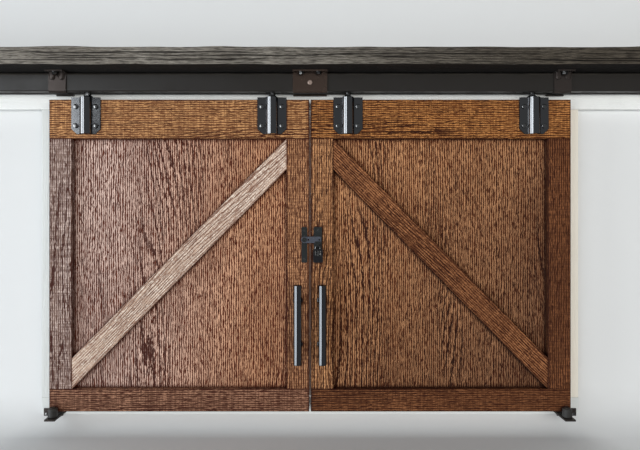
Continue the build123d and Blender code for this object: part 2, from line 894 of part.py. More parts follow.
def make_guide_bracket():
    half = guide_flange_length / 2
    flange_low = flange_top - guide_flange_height
    left = flange_middle - half
    right = flange_middle + half
    bracket = slab(left, right, flange_low, flange_top, trim_thickness, guide_flange_sheet)
    tongue_half = guide_tongue_width / 2
    tongue_tip = roller_depth + roller_radius + guide_tongue_overhang
    bracket += slab(
        guide_reach - tongue_half,
        guide_reach + tongue_half,
        tongue_top - guide_tongue_sheet,
        tongue_top,
        trim_thickness,
        tongue_tip - trim_thickness,
    )
    head_low = roller_high + roller_end_gap
    head_high = head_low + guide_axle_head_height
    axle_low = tongue_top - guide_tongue_sheet
    bracket += pin_up(guide_reach, roller_depth, axle_low, head_high, guide_axle_radius)
    head = pin_up(guide_reach, roller_depth, head_low, head_high, guide_axle_head_radius)
    bracket += chamfer(head.edges().sort_by(Axis.Z)[-1], guide_axle_head_height / 3)
    bore = guide_screw_radius + guide_screw_clearance
    for reach, height in guide_screw_places():
        bracket -= pin_out(reach, height, trim_thickness, flange_front, bore)
    return bracket


def make_guide_roller():
    roller = pin_up(guide_reach, roller_depth, roller_low, roller_high, roller_radius)
    roller = chamfer(roller.edges().filter_by(GeomType.CIRCLE), roller_ease)
    bore = guide_axle_radius + roller_bore_clearance
    return roller - pin_up(guide_reach, roller_depth, roller_low, roller_high, bore)


def make_guide_screws():
    screws = []
    for side in (-1, 1):
        for reach, height in guide_screw_places():
            end = trim_thickness - guide_screw_length
            head_front = flange_front + guide_screw_head_height
            place = side * reach
            shank = pin_out(place, height, end, flange_front, guide_screw_radius)
            head = pin_out(place, height, flange_front, head_front, guide_screw_head_radius)
            head = fillet(head.edges().sort_by(Axis.Y)[0], guide_screw_head_height / 2)
            screws.append(shank + head)
    return screws


# Writing the pieces

def write(name, shapes):
    """Writes one piece, or a group of like pieces, under its own name."""
    group = shapes if isinstance(shapes, list) else [shapes]
    solids = []
    for shape in group:
        solids += shape.solids()
    whole = solids[0] if len(solids) == 1 else Compound(children=solids)
    whole.label = name
    export_step(whole, f"parts/{name}.step")


def mirrored(shapes):
    """The left-hand twin of a piece modelled for the right-hand leaf."""
    group = shapes if isinstance(shapes, list) else [shapes]
    return [mirror(shape, about=Plane.YZ) for shape in group]


def write_pair(name, shapes):
    write(f"right_{name}", shapes)
    write(f"left_{name}", mirrored(shapes))


def main():
    os.makedirs("parts", exist_ok=True)

    write("header_board", make_header_board())
    write_pair("casing", make_casing())
    write("sill_board", make_sill_board())
    write("hood_beam", make_hood_beam())
    write_pair("rail", make_rail())
    write("splice_bracket", make_splice_bracket())
    write("rail_brackets", make_rail_brackets())
    write("lag_screws", make_lag_screws())
    stop = make_rail_stop()
    write("rail_stops", [stop] + mirrored(stop))

    write_pair("panel", make_panel())
    write_pair("top_rail", make_top_rail())
    write_pair("bottom_rail", make_bottom_rail())
    write_pair("inner_stile", make_stile(leaf_inner) - handle_screw_holes(leaf_front))
    write_pair("outer_stile", make_stile(leaf_outer - stile_width))
    write_pair("brace", make_brace())

    write_pair("hanger_bolts", make_hanger_bolts())
    write_pair("pendant_nuts", make_pendant_nuts())
    for name, centre in (("inner", hanger_inner), ("outer", hanger_outer)):
        write_pair(f"{name}_hanger", make_hanger(centre))
        write_pair(f"{name}_trolley", make_trolley(centre))
        near = make_wheel_pair(centre - wheel_pitch / 2)
        far = make_wheel_pair(centre + wheel_pitch / 2)
        write_pair(f"{name}_trolley_near_wheels", near)
        write_pair(f"{name}_trolley_far_wheels", far)

    write_pair("handle", make_handle())
    write_pair("handle_screws", make_handle_screws())
    write("latch_plate", make_latch_plate())
    write("latch_bar", make_latch_bar())
    write("keeper_plate", make_keeper_plate())
    write("padlock_shackle", make_padlock_shackle())
    write("padlock_body", make_padlock_body())
    for index in range(dial_count):
        write(f"padlock_dial_{index + 1}", make_dial(index))

    write_pair("guide_bracket", make_guide_bracket())
    write_pair("guide_roller", make_guide_roller())
    write("guide_screws", make_guide_screws())


main()
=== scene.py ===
# %% [markdown]
# # Sliding barn doors over a serving window
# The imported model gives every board, plate and wheel its exact shape. This lesson adds what makes
# it look real: rough-sawn stained wood, weathered timber, white paint, powder-coated steel, and
# the small pieces that repeat, such as screw heads and the figures on the padlock.
#
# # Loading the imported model
# The model arrives as a fixed frame. Its pieces keep their place and their mesh, so this script
# only gives them finishes, adds small pieces, and stands a finer piece in where one is needed.

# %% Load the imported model
import json
import math

import bmesh
import bpy
import numpy as np
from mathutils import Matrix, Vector, noise

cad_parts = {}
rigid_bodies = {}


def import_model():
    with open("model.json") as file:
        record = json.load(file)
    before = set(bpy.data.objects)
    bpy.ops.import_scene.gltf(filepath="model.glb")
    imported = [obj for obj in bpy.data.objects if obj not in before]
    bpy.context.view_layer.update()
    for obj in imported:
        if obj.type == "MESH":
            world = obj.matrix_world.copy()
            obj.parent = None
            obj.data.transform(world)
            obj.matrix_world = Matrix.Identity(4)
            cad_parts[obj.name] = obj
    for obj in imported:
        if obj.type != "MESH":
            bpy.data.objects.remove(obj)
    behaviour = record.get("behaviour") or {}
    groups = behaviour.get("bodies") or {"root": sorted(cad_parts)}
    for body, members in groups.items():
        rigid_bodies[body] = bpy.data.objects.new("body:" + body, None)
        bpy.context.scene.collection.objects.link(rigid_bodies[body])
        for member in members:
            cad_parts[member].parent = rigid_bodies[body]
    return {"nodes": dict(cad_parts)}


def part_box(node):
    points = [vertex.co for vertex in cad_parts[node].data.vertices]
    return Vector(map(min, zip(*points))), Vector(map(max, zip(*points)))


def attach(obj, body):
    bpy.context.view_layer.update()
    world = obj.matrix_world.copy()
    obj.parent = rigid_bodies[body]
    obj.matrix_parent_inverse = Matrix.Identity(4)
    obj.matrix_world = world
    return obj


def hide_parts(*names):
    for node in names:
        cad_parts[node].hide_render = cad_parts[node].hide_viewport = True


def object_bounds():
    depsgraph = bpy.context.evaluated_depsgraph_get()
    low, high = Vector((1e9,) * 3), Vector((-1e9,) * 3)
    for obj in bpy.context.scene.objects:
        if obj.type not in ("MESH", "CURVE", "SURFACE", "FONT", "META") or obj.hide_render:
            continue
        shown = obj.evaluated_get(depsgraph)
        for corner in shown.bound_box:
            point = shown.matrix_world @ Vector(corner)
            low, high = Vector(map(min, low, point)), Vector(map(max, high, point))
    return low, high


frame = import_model()
model_low, model_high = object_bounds()
print("packed model, metres:", [round(side, 3) for side in model_high - model_low])

# %% [markdown]
# # Camera
# The photograph was taken square to the doors, from about 1.75 m away and a little above their
# middle. The verticals stay upright, so the camera looks level and a small lens shift places the
# doors in the picture. The picture is 640 pixels wide, and one metre at a distance of one metre
# covers 576 of them, which gives the focal length.

# %% Place the camera
PICTURE_WIDTH = 640
PICTURE_HEIGHT = 450
SENSOR_WIDTH = 36.0
FOCAL_PIXELS = 576.0
CAMERA_DISTANCE = 1.753
CAMERA_HEIGHT = 0.585
CENTRE_COLUMN = 310.0
CENTRE_ROW = 212.0


def new_object(name, data):
    """An object at the origin for a mesh, a curve, a light or the camera, put in the scene."""
    item = bpy.data.objects.new(name, data)
    bpy.context.scene.collection.objects.link(item)
    return item


camera_data = bpy.data.cameras.new("photo_camera")
camera_data.sensor_width = SENSOR_WIDTH
camera_data.lens = SENSOR_WIDTH * FOCAL_PIXELS / PICTURE_WIDTH
camera_data.shift_x = (PICTURE_WIDTH / 2 - CENTRE_COLUMN) / PICTURE_WIDTH
camera_data.shift_y = (CENTRE_ROW - PICTURE_HEIGHT / 2) / PICTURE_WIDTH
camera = new_object("photo_camera", camera_data)
camera.location = (0.0, -CAMERA_DISTANCE, CAMERA_HEIGHT)
camera.rotation_euler = (math.radians(90), 0.0, 0.0)
bpy.context.scene.camera = camera
print("focal length, mm:", round(camera_data.lens, 2))

# %% [markdown]
# # Helpers for material nodes
# Every finish here is a small graph of nodes, and so is every tree of Geometry Nodes. Written out
# node by node they would be long, so each common step gets a helper: a node with its settings, a
# maths step, a noise, a new range for a value, a blend of two colours. A value handed to a helper
# may be a plain number or the output of another node.

# %% Node helpers
def add_node(tree, kind, **settings):
    node = tree.nodes.new(kind)
    for setting, value in settings.items():
        setattr(node, setting, value)
    return node


def feed(tree, value, socket):
    """Links an output to a socket, or writes a plain value on it."""
    if isinstance(value, bpy.types.NodeSocket):
        tree.links.new(value, socket)
    else:
        socket.default_value = value


def calculate(tree, operation, first, second=0.0, clamp=False):
    node = add_node(tree, "ShaderNodeMath", operation=operation, use_clamp=clamp)
    feed(tree, first, node.inputs[0])
    feed(tree, second, node.inputs[1])
    return node.outputs[0]


def multiply_add(tree, value, factor, added):
    node = add_node(tree, "ShaderNodeMath", operation="MULTIPLY_ADD")
    for place, number in enumerate((value, factor, added)):
        feed(tree, number, node.inputs[place])
    return node.outputs[0]


def scaled_vector(tree, vector, factors):
    node = add_node(tree, "ShaderNodeVectorMath", operation="MULTIPLY")
    feed(tree, vector, node.inputs[0])
    feed(tree, factors, node.inputs[1])
    return node.outputs[0]


def separate(tree, vector):
    """The X, Y and Z of a vector, as outputs."""
    node = add_node(tree, "ShaderNodeSeparateXYZ")
    feed(tree, vector, node.inputs[0])
    return node.outputs


def cloud(tree, vector, scale, detail=2.0, roughness=0.5):
    """A soft noise between 0 and 1."""
    node = add_node(tree, "ShaderNodeTexNoise")
    feed(tree, vector, node.inputs["Vector"])
    feed(tree, scale, node.inputs["Scale"])
    node.inputs["Detail"].default_value = detail
    node.inputs["Roughness"].default_value = roughness
    return node.outputs[0]


def remap(tree, value, low, high, new_low=0.0, new_high=1.0):
    """Takes the range from low to high to a new range, softly at both ends, and cuts off the rest."""
    node = add_node(tree, "ShaderNodeMapRange", interpolation_type="SMOOTHSTEP")
    for place, number in enumerate((value, low, high, new_low, new_high)):
        feed(tree, number, node.inputs[place])
    return node.outputs[0]


def blend_colours(tree, factor, first, second, kind="MIX"):
    node = add_node(tree, "ShaderNodeMix", data_type="RGBA", blend_type=kind)
    feed(tree, factor, node.inputs[0])
    feed(tree, first, node.inputs[6])
    feed(tree, second, node.inputs[7])
    return node.outputs[2]


# %% [markdown]
# # Node groups
# An effect that several finishes share, such as wear or grain, is built once as a node group. Its
# named sockets are all that a finish has to know of it, so one repair mends every finish.

# %% Helpers for node groups
def new_group(name, inputs, outputs):
    """A node group with named sockets. Each input is a name, a kind and a starting value."""
    group = bpy.data.node_groups.new(name, "ShaderNodeTree")
    for socket_name, kind, start in inputs:
        socket = group.interface.new_socket(socket_name, in_out="INPUT", socket_type=kind)
        if start is not None:
            socket.default_value = start
    for socket_name, kind in outputs:
        group.interface.new_socket(socket_name, in_out="OUTPUT", socket_type=kind)
    return group, add_node(group, "NodeGroupInput").outputs, add_node(group, "NodeGroupOutput").inputs


def use_group(tree, group, **values):
    """Places a group in a material and fills the named inputs."""
    node = add_node(tree, "ShaderNodeGroup", node_tree=group)
    for name, value in values.items():
        feed(tree, value, node.inputs[name.replace("_", " ").capitalize()])
    return node.outputs


# %% [markdown]
# Edge wear and painted edge shade
# Paint goes first where an edge is rubbed. The Bevel node gives the normal that a slightly rounded
# edge would have. Where that differs from the true normal there is an edge, and a noise breaks the
# line up, because nothing wears evenly. With a wide radius the same mask finds the rims of a board,
# which are darkened there as painted shade.

# %% Node group: edge wear and painted edge shade
edge_wear_and_shade, given, result = new_group(
    "edge_wear_and_shade",
    [
        ("Vector", "NodeSocketVector", None),
        ("Radius", "NodeSocketFloat", 0.002),
        ("Breaks", "NodeSocketFloat", 90.0),
        ("Amount", "NodeSocketFloat", 0.5),
    ],
    [("Mask", "NodeSocketFloat")],
)
rounded = add_node(edge_wear_and_shade, "ShaderNodeBevel", samples=4)
feed(edge_wear_and_shade, given["Radius"], rounded.inputs["Radius"])
true_normal = add_node(edge_wear_and_shade, "ShaderNodeNewGeometry").outputs["Normal"]
agreement = add_node(edge_wear_and_shade, "ShaderNodeVectorMath", operation="DOT_PRODUCT")
feed(edge_wear_and_shade, rounded.outputs[0], agreement.inputs[0])
feed(edge_wear_and_shade, true_normal, agreement.inputs[1])
edge = remap(edge_wear_and_shade, agreement.outputs["Value"], 0.99, 0.80)
breaks = remap(edge_wear_and_shade, cloud(edge_wear_and_shade, given["Vector"], given["Breaks"], 3.0, 0.6), 0.38, 0.62)
worn = calculate(edge_wear_and_shade, "MULTIPLY", edge, breaks)
feed(edge_wear_and_shade, calculate(edge_wear_and_shade, "MULTIPLY", worn, given["Amount"], True), result["Mask"])
print("nodes of the edge wear:", len(edge_wear_and_shade.nodes))

# %% [markdown]
# # Dust
# Fine pale dust settles on faces that look up, more in some places than in others. One group makes
# the mask, and each finish decides how pale the dust is and how much of it shows.

# %% Node group: settled dust
settled_dust, given, result = new_group(
    "settled_dust",
    [("Vector", "NodeSocketVector", None), ("Amount", "NodeSocketFloat", 0.5)],
    [("Mask", "NodeSocketFloat")],
)
normal = add_node(settled_dust, "ShaderNodeNewGeometry").outputs["Normal"]
facing_up = remap(settled_dust, separate(settled_dust, normal)["Z"], 0.25, 0.95)
drifts = remap(settled_dust, cloud(settled_dust, given["Vector"], 14.0, 5.0, 0.65), 0.3, 0.65, 0.3)
dust = calculate(settled_dust, "MULTIPLY", facing_up, drifts)
feed(settled_dust, calculate(settled_dust, "MULTIPLY", dust, given["Amount"], True), result["Mask"])
print("nodes of the settled dust:", len(settled_dust.nodes))

# %% [markdown]
# # Rough-sawn grain
# A board sawn flat out of a log shows growth rings as long nested arches. A noise that is stretched
# along the grain works like a map of hills, and its contour lines are those arches. A ramp across
# the board adds the straight lines between them, and a wide soft mask lets them fade in places. Torn
# fibres lie between the rings: a blade tears the soft wood into short raised flecks, which keep to
# fine wavy ridges along the grain. Fine fibres and the marks of the saw come last. The grain always
# runs along the third axis of the incoming vector, so each board turns its own position first, and a
# board's own offset makes every board different.

# %% Node group: sawn grain
RAGGED_RINGS = 0.70
FADED_RINGS = 0.05
FINE_RIDGES = 155.0
RIDGE_WAVES = 14.0
RIDGE_RIPPLES = 5.0
RIDGE_SHARE = 0.095
SAW_SQUEEZE = (0.05, 0.05, 1.0)
RING_RISE = -0.55
FLECK_RISE = 0.50
FIBRE_RISE = 0.35
SAW_RISE = 0.20

sawn_grain, given, result = new_group(
    "sawn_grain",
    [
        ("Vector", "NodeSocketVector", None),
        ("Rings", "NodeSocketFloat", 60.0),
        ("Wander", "NodeSocketFloat", 0.4),
        ("Stretch", "NodeSocketFloat", 0.14),
    ],
    [
        ("Ring", "NodeSocketFloat"),
        ("Fibre", "NodeSocketFloat"),
        ("Torn", "NodeSocketFloat"),
        ("Saw", "NodeSocketFloat"),
        ("Height", "NodeSocketFloat"),
    ],
)


def grain_cloud(along, scale, detail, roughness=0.5):
    """A noise stretched along the grain. along is how much of the length it keeps."""
    stretched = scaled_vector(sawn_grain, given["Vector"], (1, 1, along))
    return cloud(sawn_grain, stretched, scale, detail, roughness)


hill_scale = add_node(sawn_grain, "ShaderNodeCombineXYZ")
for place, scale in enumerate((1.0, 1.0, given["Stretch"])):
    feed(sawn_grain, scale, hill_scale.inputs[place])
hill_place = scaled_vector(sawn_grain, given["Vector"], hill_scale.outputs[0])
hills = cloud(sawn_grain, hill_place, 5.0, 1.5, 0.4)
across = separate(sawn_grain, given["Vector"])["X"]
level = multiply_add(sawn_grain, hills, given["Wander"], across)
ring_count = calculate(sawn_grain, "MULTIPLY", level, given["Rings"])
ragged_count = multiply_add(sawn_grain, grain_cloud(0.40, 150.0, 2.0), RAGGED_RINGS, ring_count)
turn = calculate(sawn_grain, "MULTIPLY", ragged_count, 2 * math.pi)
ring_line = remap(sawn_grain, calculate(sawn_grain, "SINE", turn), 0.55, 0.97)
ring_zone = remap(sawn_grain, grain_cloud(0.14, 7.5, 2.0), 0.50, 0.60, FADED_RINGS)
ring = calculate(sawn_grain, "MULTIPLY", ring_line, ring_zone)
fibre = grain_cloud(0.09, 330.0, 3.0, 0.6)
fine_turn = calculate(sawn_grain, "MULTIPLY", across, 2 * math.pi * FINE_RIDGES)
fine_turn = multiply_add(sawn_grain, grain_cloud(0.12, 16.0, 2.0), RIDGE_WAVES, fine_turn)
fine_turn = multiply_add(sawn_grain, grain_cloud(0.30, 120.0, 2.0), RIDGE_RIPPLES, fine_turn)
ridges = calculate(sawn_grain, "SINE", fine_turn)
short_fibres = calculate(sawn_grain, "MULTIPLY", grain_cloud(0.17, 480.0, 2.0), 0.50)
flecks = multiply_add(sawn_grain, grain_cloud(0.13, 310.0, 2.0, 0.6), 0.50, short_fibres)
flecks = multiply_add(sawn_grain, ridges, RIDGE_SHARE, flecks)
torn = remap(sawn_grain, flecks, 0.45, 0.55)
saw = cloud(sawn_grain, scaled_vector(sawn_grain, given["Vector"], SAW_SQUEEZE), 300.0, 2.0)
height = calculate(sawn_grain, "MULTIPLY", ring, RING_RISE)
for relief, rise in ((torn, FLECK_RISE), (fibre, FIBRE_RISE), (saw, SAW_RISE)):
    height = multiply_add(sawn_grain, relief, rise, height)
for name, value in (("Ring", ring), ("Fibre", fibre), ("Torn", torn), ("Saw", saw), ("Height", height)):
    feed(sawn_grain, value, result[name])
print("nodes of the sawn grain:", len(sawn_grain.nodes))

# %% [markdown]
# # Starting a material
# Every finish starts in the same way, with a Principled BSDF and the place on the piece. Object
# coordinates give that place in metres, so a pattern keeps its real size on any board. The relief
# of a finish goes through a Bump node, and boards turn their place so that the grain runs with them.

# %% Helpers for a material
def opaque(colour):
    return (*colour, 1.0)


def start_material(name):
    """A new material with its shader and the place on the piece as a vector."""
    material = bpy.data.materials.new(name)
    material.use_nodes = True
    tree = material.node_tree
    shader = tree.nodes["Principled BSDF"]
    place = add_node(tree, "ShaderNodeTexCoord").outputs["Object"]
    return material, tree, shader, place


def raise_surface(tree, shader, height, depth, strength=1.0):
    bump = add_node(tree, "ShaderNodeBump")
    bump.inputs["Distance"].default_value = depth
    bump.inputs["Strength"].default_value = strength
    feed(tree, height, bump.inputs["Height"])
    feed(tree, bump.outputs[0], shader.inputs["Normal"])


def finish_piece(node_name, material):
    slots = frame["nodes"][node_name].data.materials
    slots.clear()
    slots.append(material)


def turned_place(tree, place, turn, offset):
    """The place with the grain turned upright. turn is in degrees, clockwise from the front."""
    mapping = add_node(tree, "ShaderNodeMapping", vector_type="POINT")
    feed(tree, place, mapping.inputs["Vector"])
    mapping.inputs["Rotation"].default_value = (0.0, math.radians(turn), 0.0)
    mapping.inputs["Location"].default_value = offset
    return mapping.outputs[0]


def true_normal_of(tree):
    """The way a face looks, as X, Y and Z outputs."""
    return separate(tree, add_node(tree, "ShaderNodeNewGeometry").outputs["True Normal"])


# %% [markdown]
# # Edges of the plywood
# A panel is plywood, so where its edge shows, the glued layers run as stripes. A sine of the depth
# makes them, and the way the face looks tells where an edge is.

# %% Function for layered edges
PLY_LAYER = 0.0032
PLY_LIGHT = (0.40, 0.27, 0.16, 1.0)
PLY_DARK = (0.16, 0.085, 0.045, 1.0)


def layered_edge(tree, place, colour):
    """Shows the layers of plywood where the surface faces sideways, up or down."""
    front = calculate(tree, "ABSOLUTE", true_normal_of(tree)["Y"])
    layer_turn = calculate(tree, "MULTIPLY", separate(tree, place)["Y"], math.pi / PLY_LAYER)
    layer = calculate(tree, "SINE", layer_turn)
    fibres = cloud(tree, place, 260.0, 3.0)
    stripe = remap(tree, multiply_add(tree, fibres, 0.8, layer), -0.1, 0.9)
    layers = blend_colours(tree, stripe, PLY_DARK, PLY_LIGHT)
    return blend_colours(tree, remap(tree, front, 0.6, 0.4), colour, layers)


# %% [markdown]
# # Stained boards
# The leaves are stained brown, but no two boards are alike. The stain sits dark and reddish in the
# grooves, while the raised fibres are rubbed to tan, with dry hairs along them. Painted shade darkens
# the rims of a board, the corners between boards and the line where the leaves meet to the groove
# colour. An Ambient Occlusion node finds the corners, as it measures how closed in a place is. A
# painted falloff of light makes a panel's colour drift over its width. One function builds all of
# it, and each board gets its own grain direction, offset and colours.

# %% Function for a stained board
DRY_WOOD_SHINE = 0.2
GRAIN_DEPTH = 0.0018
HAIR_SCALE = 900.0
RING_STRENGTH = 0.95
RIM_REACH = 0.010
CORNER_REACH = 0.014
MEETING_REACH = 0.0052


def soaked_stain(tree, place):
    """A mask of painted shade: the rims of a board, the corners between boards and the line between the
    leaves.
    """
    rims = use_group(tree, edge_wear_and_shade, vector=place, radius=RIM_REACH, breaks=12.0, amount=2.2)["Mask"]
    corner = add_node(tree, "ShaderNodeAmbientOcclusion", samples=6)
    corner.inputs["Distance"].default_value = CORNER_REACH
    in_corner = remap(tree, corner.outputs["AO"], 0.90, 0.45)
    from_meeting = calculate(tree, "ABSOLUTE", separate(tree, place)["X"])
    at_meeting = remap(tree, from_meeting, MEETING_REACH, MEETING_REACH * 0.8)
    return calculate(tree, "MAXIMUM", calculate(tree, "MAXIMUM", rims, in_corner), at_meeting)


def stained_board(name, turn, offset, colours, rings, saw_marks=0.0, painted_falloff=None, layered=False):
    """Rough-sawn stained wood. colours are those of its grooves, its body and its raised fibres.

    A painted falloff of light over the board is given as how much the height counts against the
    way across, where the change starts and ends, and the tint at its end.
    """
    groove, body, raised = [opaque(colour) for colour in colours]
    material, tree, shader, place = start_material(name)
    grain_place = turned_place(tree, place, turn, offset)
    grain = use_group(tree, sawn_grain, vector=grain_place, rings=rings)
    stretched = scaled_vector(tree, grain_place, (1, 1, 0.4))
    patches = remap(tree, cloud(tree, stretched, 7.0, 4.0, 0.6), 0.3, 0.7)
    stain = blend_colours(tree, remap(tree, grain["Fibre"], 0.34, 0.60), groove, body)
    marks = multiply_add(tree, remap(tree, grain["Saw"], 0.42, 0.58), saw_marks, 1.0 - saw_marks)
    worn_through = multiply_add(tree, patches, 0.35, 0.65)
    rubbed = calculate(tree, "MULTIPLY", calculate(tree, "MULTIPLY", grain["Torn"], marks), worn_through)
    hairs = cloud(tree, scaled_vector(tree, grain_place, (1, 1, 0.05)), HAIR_SCALE, 3.0, 0.6)
    dry = blend_colours(tree, remap(tree, hairs, 0.35, 0.65, 0.0, 0.35), raised, body)
    flecked = blend_colours(tree, rubbed, stain, dry)
    ring = calculate(tree, "MULTIPLY", grain["Ring"], RING_STRENGTH)
    ringed = blend_colours(tree, ring, flecked, groove)
    # Painted shade: rims, corners and the meeting line take the groove colour.
    colour = blend_colours(tree, soaked_stain(tree, place), ringed, groove)
    # Painted falloff of light: the colour is multiplied towards a darker tint across the panel.
    if painted_falloff:
        slant, start, end, tint = painted_falloff
        sides = separate(tree, place)
        slope = multiply_add(tree, sides["Z"], slant, sides["X"])
        colour = blend_colours(tree, remap(tree, slope, start, end), colour, opaque(tint), "MULTIPLY")
    if layered:
        colour = layered_edge(tree, place, colour)
    feed(tree, colour, shader.inputs["Base Color"])
    feed(tree, remap(tree, grain["Torn"], 0.0, 1.0, 0.72, 0.52), shader.inputs["Roughness"])
    shader.inputs["Specular IOR Level"].default_value = DRY_WOOD_SHINE
    raise_surface(tree, shader, grain["Height"], GRAIN_DEPTH)
    return material


# %% [markdown]
# # Dressing the leaves
# In the photograph the left leaf is greyer and paler and the right leaf is a deeper brown. The board
# colours are partly their stain and partly a painted falloff and sheen of the open daylight from the
# left: paler and greyer on the left leaf, darker towards the right, and much lighter on the left brace
# as a painted highlight. Top and bottom rails run across, stiles stand upright and the braces lean,
# so their grain turns with them. Each board has a row below: the turn of its grain, its offset, and
# the colours of its body and of its raised fibres.

# %% Stain colours and grain of each board
GROOVES = {"left": (0.052, 0.010, 0.005), "right": (0.030, 0.006, 0.003)}
# The left brace's groove is painted pale, as a painted sheen of the light from the left.
BRACE_SHEEN_GROOVE = (0.22, 0.105, 0.070)
# Painted falloff of light on each panel, darker away from the upper left: slant, start, end, tint.
PAINTED_PANEL_FALLOFF = {
    "left_panel": (0.0, -0.65, -0.10, (0.91, 0.66, 0.42)),
    "right_panel": (-0.6, -0.30, 0.60, (0.48, 0.47, 0.50)),
}
BRACE_LEAN = 45.7
PANEL_RINGS = 88.0
BOARD_RINGS = 85.0
BOARD_SAW_MARKS = 0.5

# The colours hold a painted falloff of the light from the left: paler on the left, darker to the right.
board_finishes = {
    "left_panel": (0, (0.13, 0.0, 0.2), (0.115, 0.027, 0.012), (0.84, 0.61, 0.52)),
    "left_top_rail": (90, (0.4, 0.1, 0.7), (0.20, 0.078, 0.030), (0.80, 0.42, 0.175)),
    "left_bottom_rail": (90, (0.9, 0.3, 1.1), (0.082, 0.031, 0.017), (0.52, 0.27, 0.165)),
    "left_inner_stile": (0, (1.3, 0.2, 0.4), (0.120, 0.043, 0.018), (0.70, 0.35, 0.170)),
    "left_outer_stile": (0, (2.1, 0.5, 0.9), (0.165, 0.092, 0.070), (0.80, 0.63, 0.56)),
    # Painted highlight: the left brace's body and raised fibres are painted much lighter.
    "left_brace": (-BRACE_LEAN, (1.7, 0.6, 0.3), (0.58, 0.40, 0.30), (0.97, 0.84, 0.72)),
    "right_panel": (0, (3.1, 0.2, 1.6), (0.110, 0.028, 0.009), (0.68, 0.34, 0.160)),
    "right_top_rail": (90, (2.6, 0.4, 2.2), (0.130, 0.040, 0.011), (0.66, 0.29, 0.090)),
    "right_bottom_rail": (90, (3.6, 0.1, 1.9), (0.090, 0.029, 0.011), (0.32, 0.132, 0.054)),
    "right_inner_stile": (0, (4.2, 0.3, 0.6), (0.170, 0.066, 0.026), (0.80, 0.40, 0.180)),
    "right_outer_stile": (0, (4.8, 0.2, 1.2), (0.068, 0.022, 0.008), (0.28, 0.108, 0.043)),
    "right_brace": (BRACE_LEAN, (5.3, 0.1, 0.8), (0.112, 0.037, 0.014), (0.44, 0.185, 0.077)),
}

for node_name, (turn, offset, body, raised) in board_finishes.items():
    is_panel = node_name.endswith("panel")
    groove = BRACE_SHEEN_GROOVE if node_name == "left_brace" else GROOVES[node_name.split("_")[0]]
    stain = stained_board(
        node_name + "_stain",
        turn,
        offset,
        (groove, body, raised),
        rings=PANEL_RINGS if is_panel else BOARD_RINGS,
        saw_marks=0.0 if is_panel else BOARD_SAW_MARKS,
        painted_falloff=PAINTED_PANEL_FALLOFF.get(node_name),
        layered=is_panel,
    )
    finish_piece(node_name, stain)
print("stained boards:", len(board_finishes))

# %% [markdown]
# # White trim
# Header, casings and sill board are primed wood under white satin paint. The grain still shows as
# a shallow relief, and a little grey dirt gathers on faces that look up. The header's paint is painted
# whiter as painted light, in place of the light that the rail shades off it, and the right casing is
# painted warmer as a painted warm light on that side.

# %% White painted trim
WHITE_PAINT = (0.74, 0.765, 0.755, 1.0)
# Painted light: the header's paint is whiter than the rest of the trim.
HEADER_PAINTED_LIGHT = (0.90, 0.915, 0.90, 1.0)
# Painted warm light: the right casing's white paint is tinted warmer.
CASING_PAINTED_WARM_LIGHT = (0.92, 0.87, 0.77, 1.0)
PAINT_DIRT = (0.42, 0.41, 0.38, 1.0)
PAINT_RELIEF = 0.0009


def painted_trim(name, turn, offset, paint=WHITE_PAINT):
    material, tree, shader, place = start_material(name)
    grain_place = turned_place(tree, place, turn, offset)
    grain = use_group(tree, sawn_grain, vector=grain_place, rings=34.0, wander=0.6, stretch=0.05)
    dirt = use_group(tree, settled_dust, vector=place, amount=0.55)
    smudges = remap(tree, cloud(tree, place, 6.0, 5.0, 0.7), 0.55, 0.8, 0.0, 0.12)
    dirty = calculate(tree, "MAXIMUM", dirt["Mask"], smudges)
    feed(tree, blend_colours(tree, dirty, paint, PAINT_DIRT), shader.inputs["Base Color"])
    feed(tree, remap(tree, grain["Fibre"], 0.2, 0.8, 0.36, 0.5), shader.inputs["Roughness"])
    raise_surface(tree, shader, grain["Height"], PAINT_RELIEF, 0.7)
    return material


finish_piece("header_board", painted_trim("header_paint", 90, (0.3, 0.0, 0.5), HEADER_PAINTED_LIGHT))
finish_piece("sill_board", painted_trim("sill_paint", 90, (1.3, 0.2, 2.5)))
finish_piece("left_casing", painted_trim("left_casing_paint", 0, (2.3, 0.1, 0.9)))
finish_piece("right_casing", painted_trim("right_casing_paint", 0, (3.3, 0.4, 1.7), CASING_PAINTED_WARM_LIGHT))
print("finishes so far:", len(bpy.data.materials))

# %% [markdown]
# # Black steel
# Rail, brackets, hangers and latch are steel under black powder coat or black plating. A coat has a
# fine orange peel, it is rubbed thin at edges, and dust and smears dull it. The clamp screw in the
# middle of the rail has lost the coat on its head. One function makes the finish, and each family of
# pieces has its own gloss and amount of wear. A low Specular Tint keeps plated faces dark where
# the view grazes them, as they are in the photograph.

# %% Function for coated steel
SMEARED = 1.5
WORN_RADIUS = 0.0012
BARE_STEEL = (0.34, 0.33, 0.32, 1.0)
PALE_DUST = (0.30, 0.27, 0.23, 1.0)
RUBBED_HEAD = (0.46, 0.35, 0.30, 1.0)
EDGE_SHINE = (0.06, 0.06, 0.07, 1.0)
ORANGE_PEEL = 0.00004
FINE_PEEL = 0.000004
PLATED_PEEL = 0.0000008


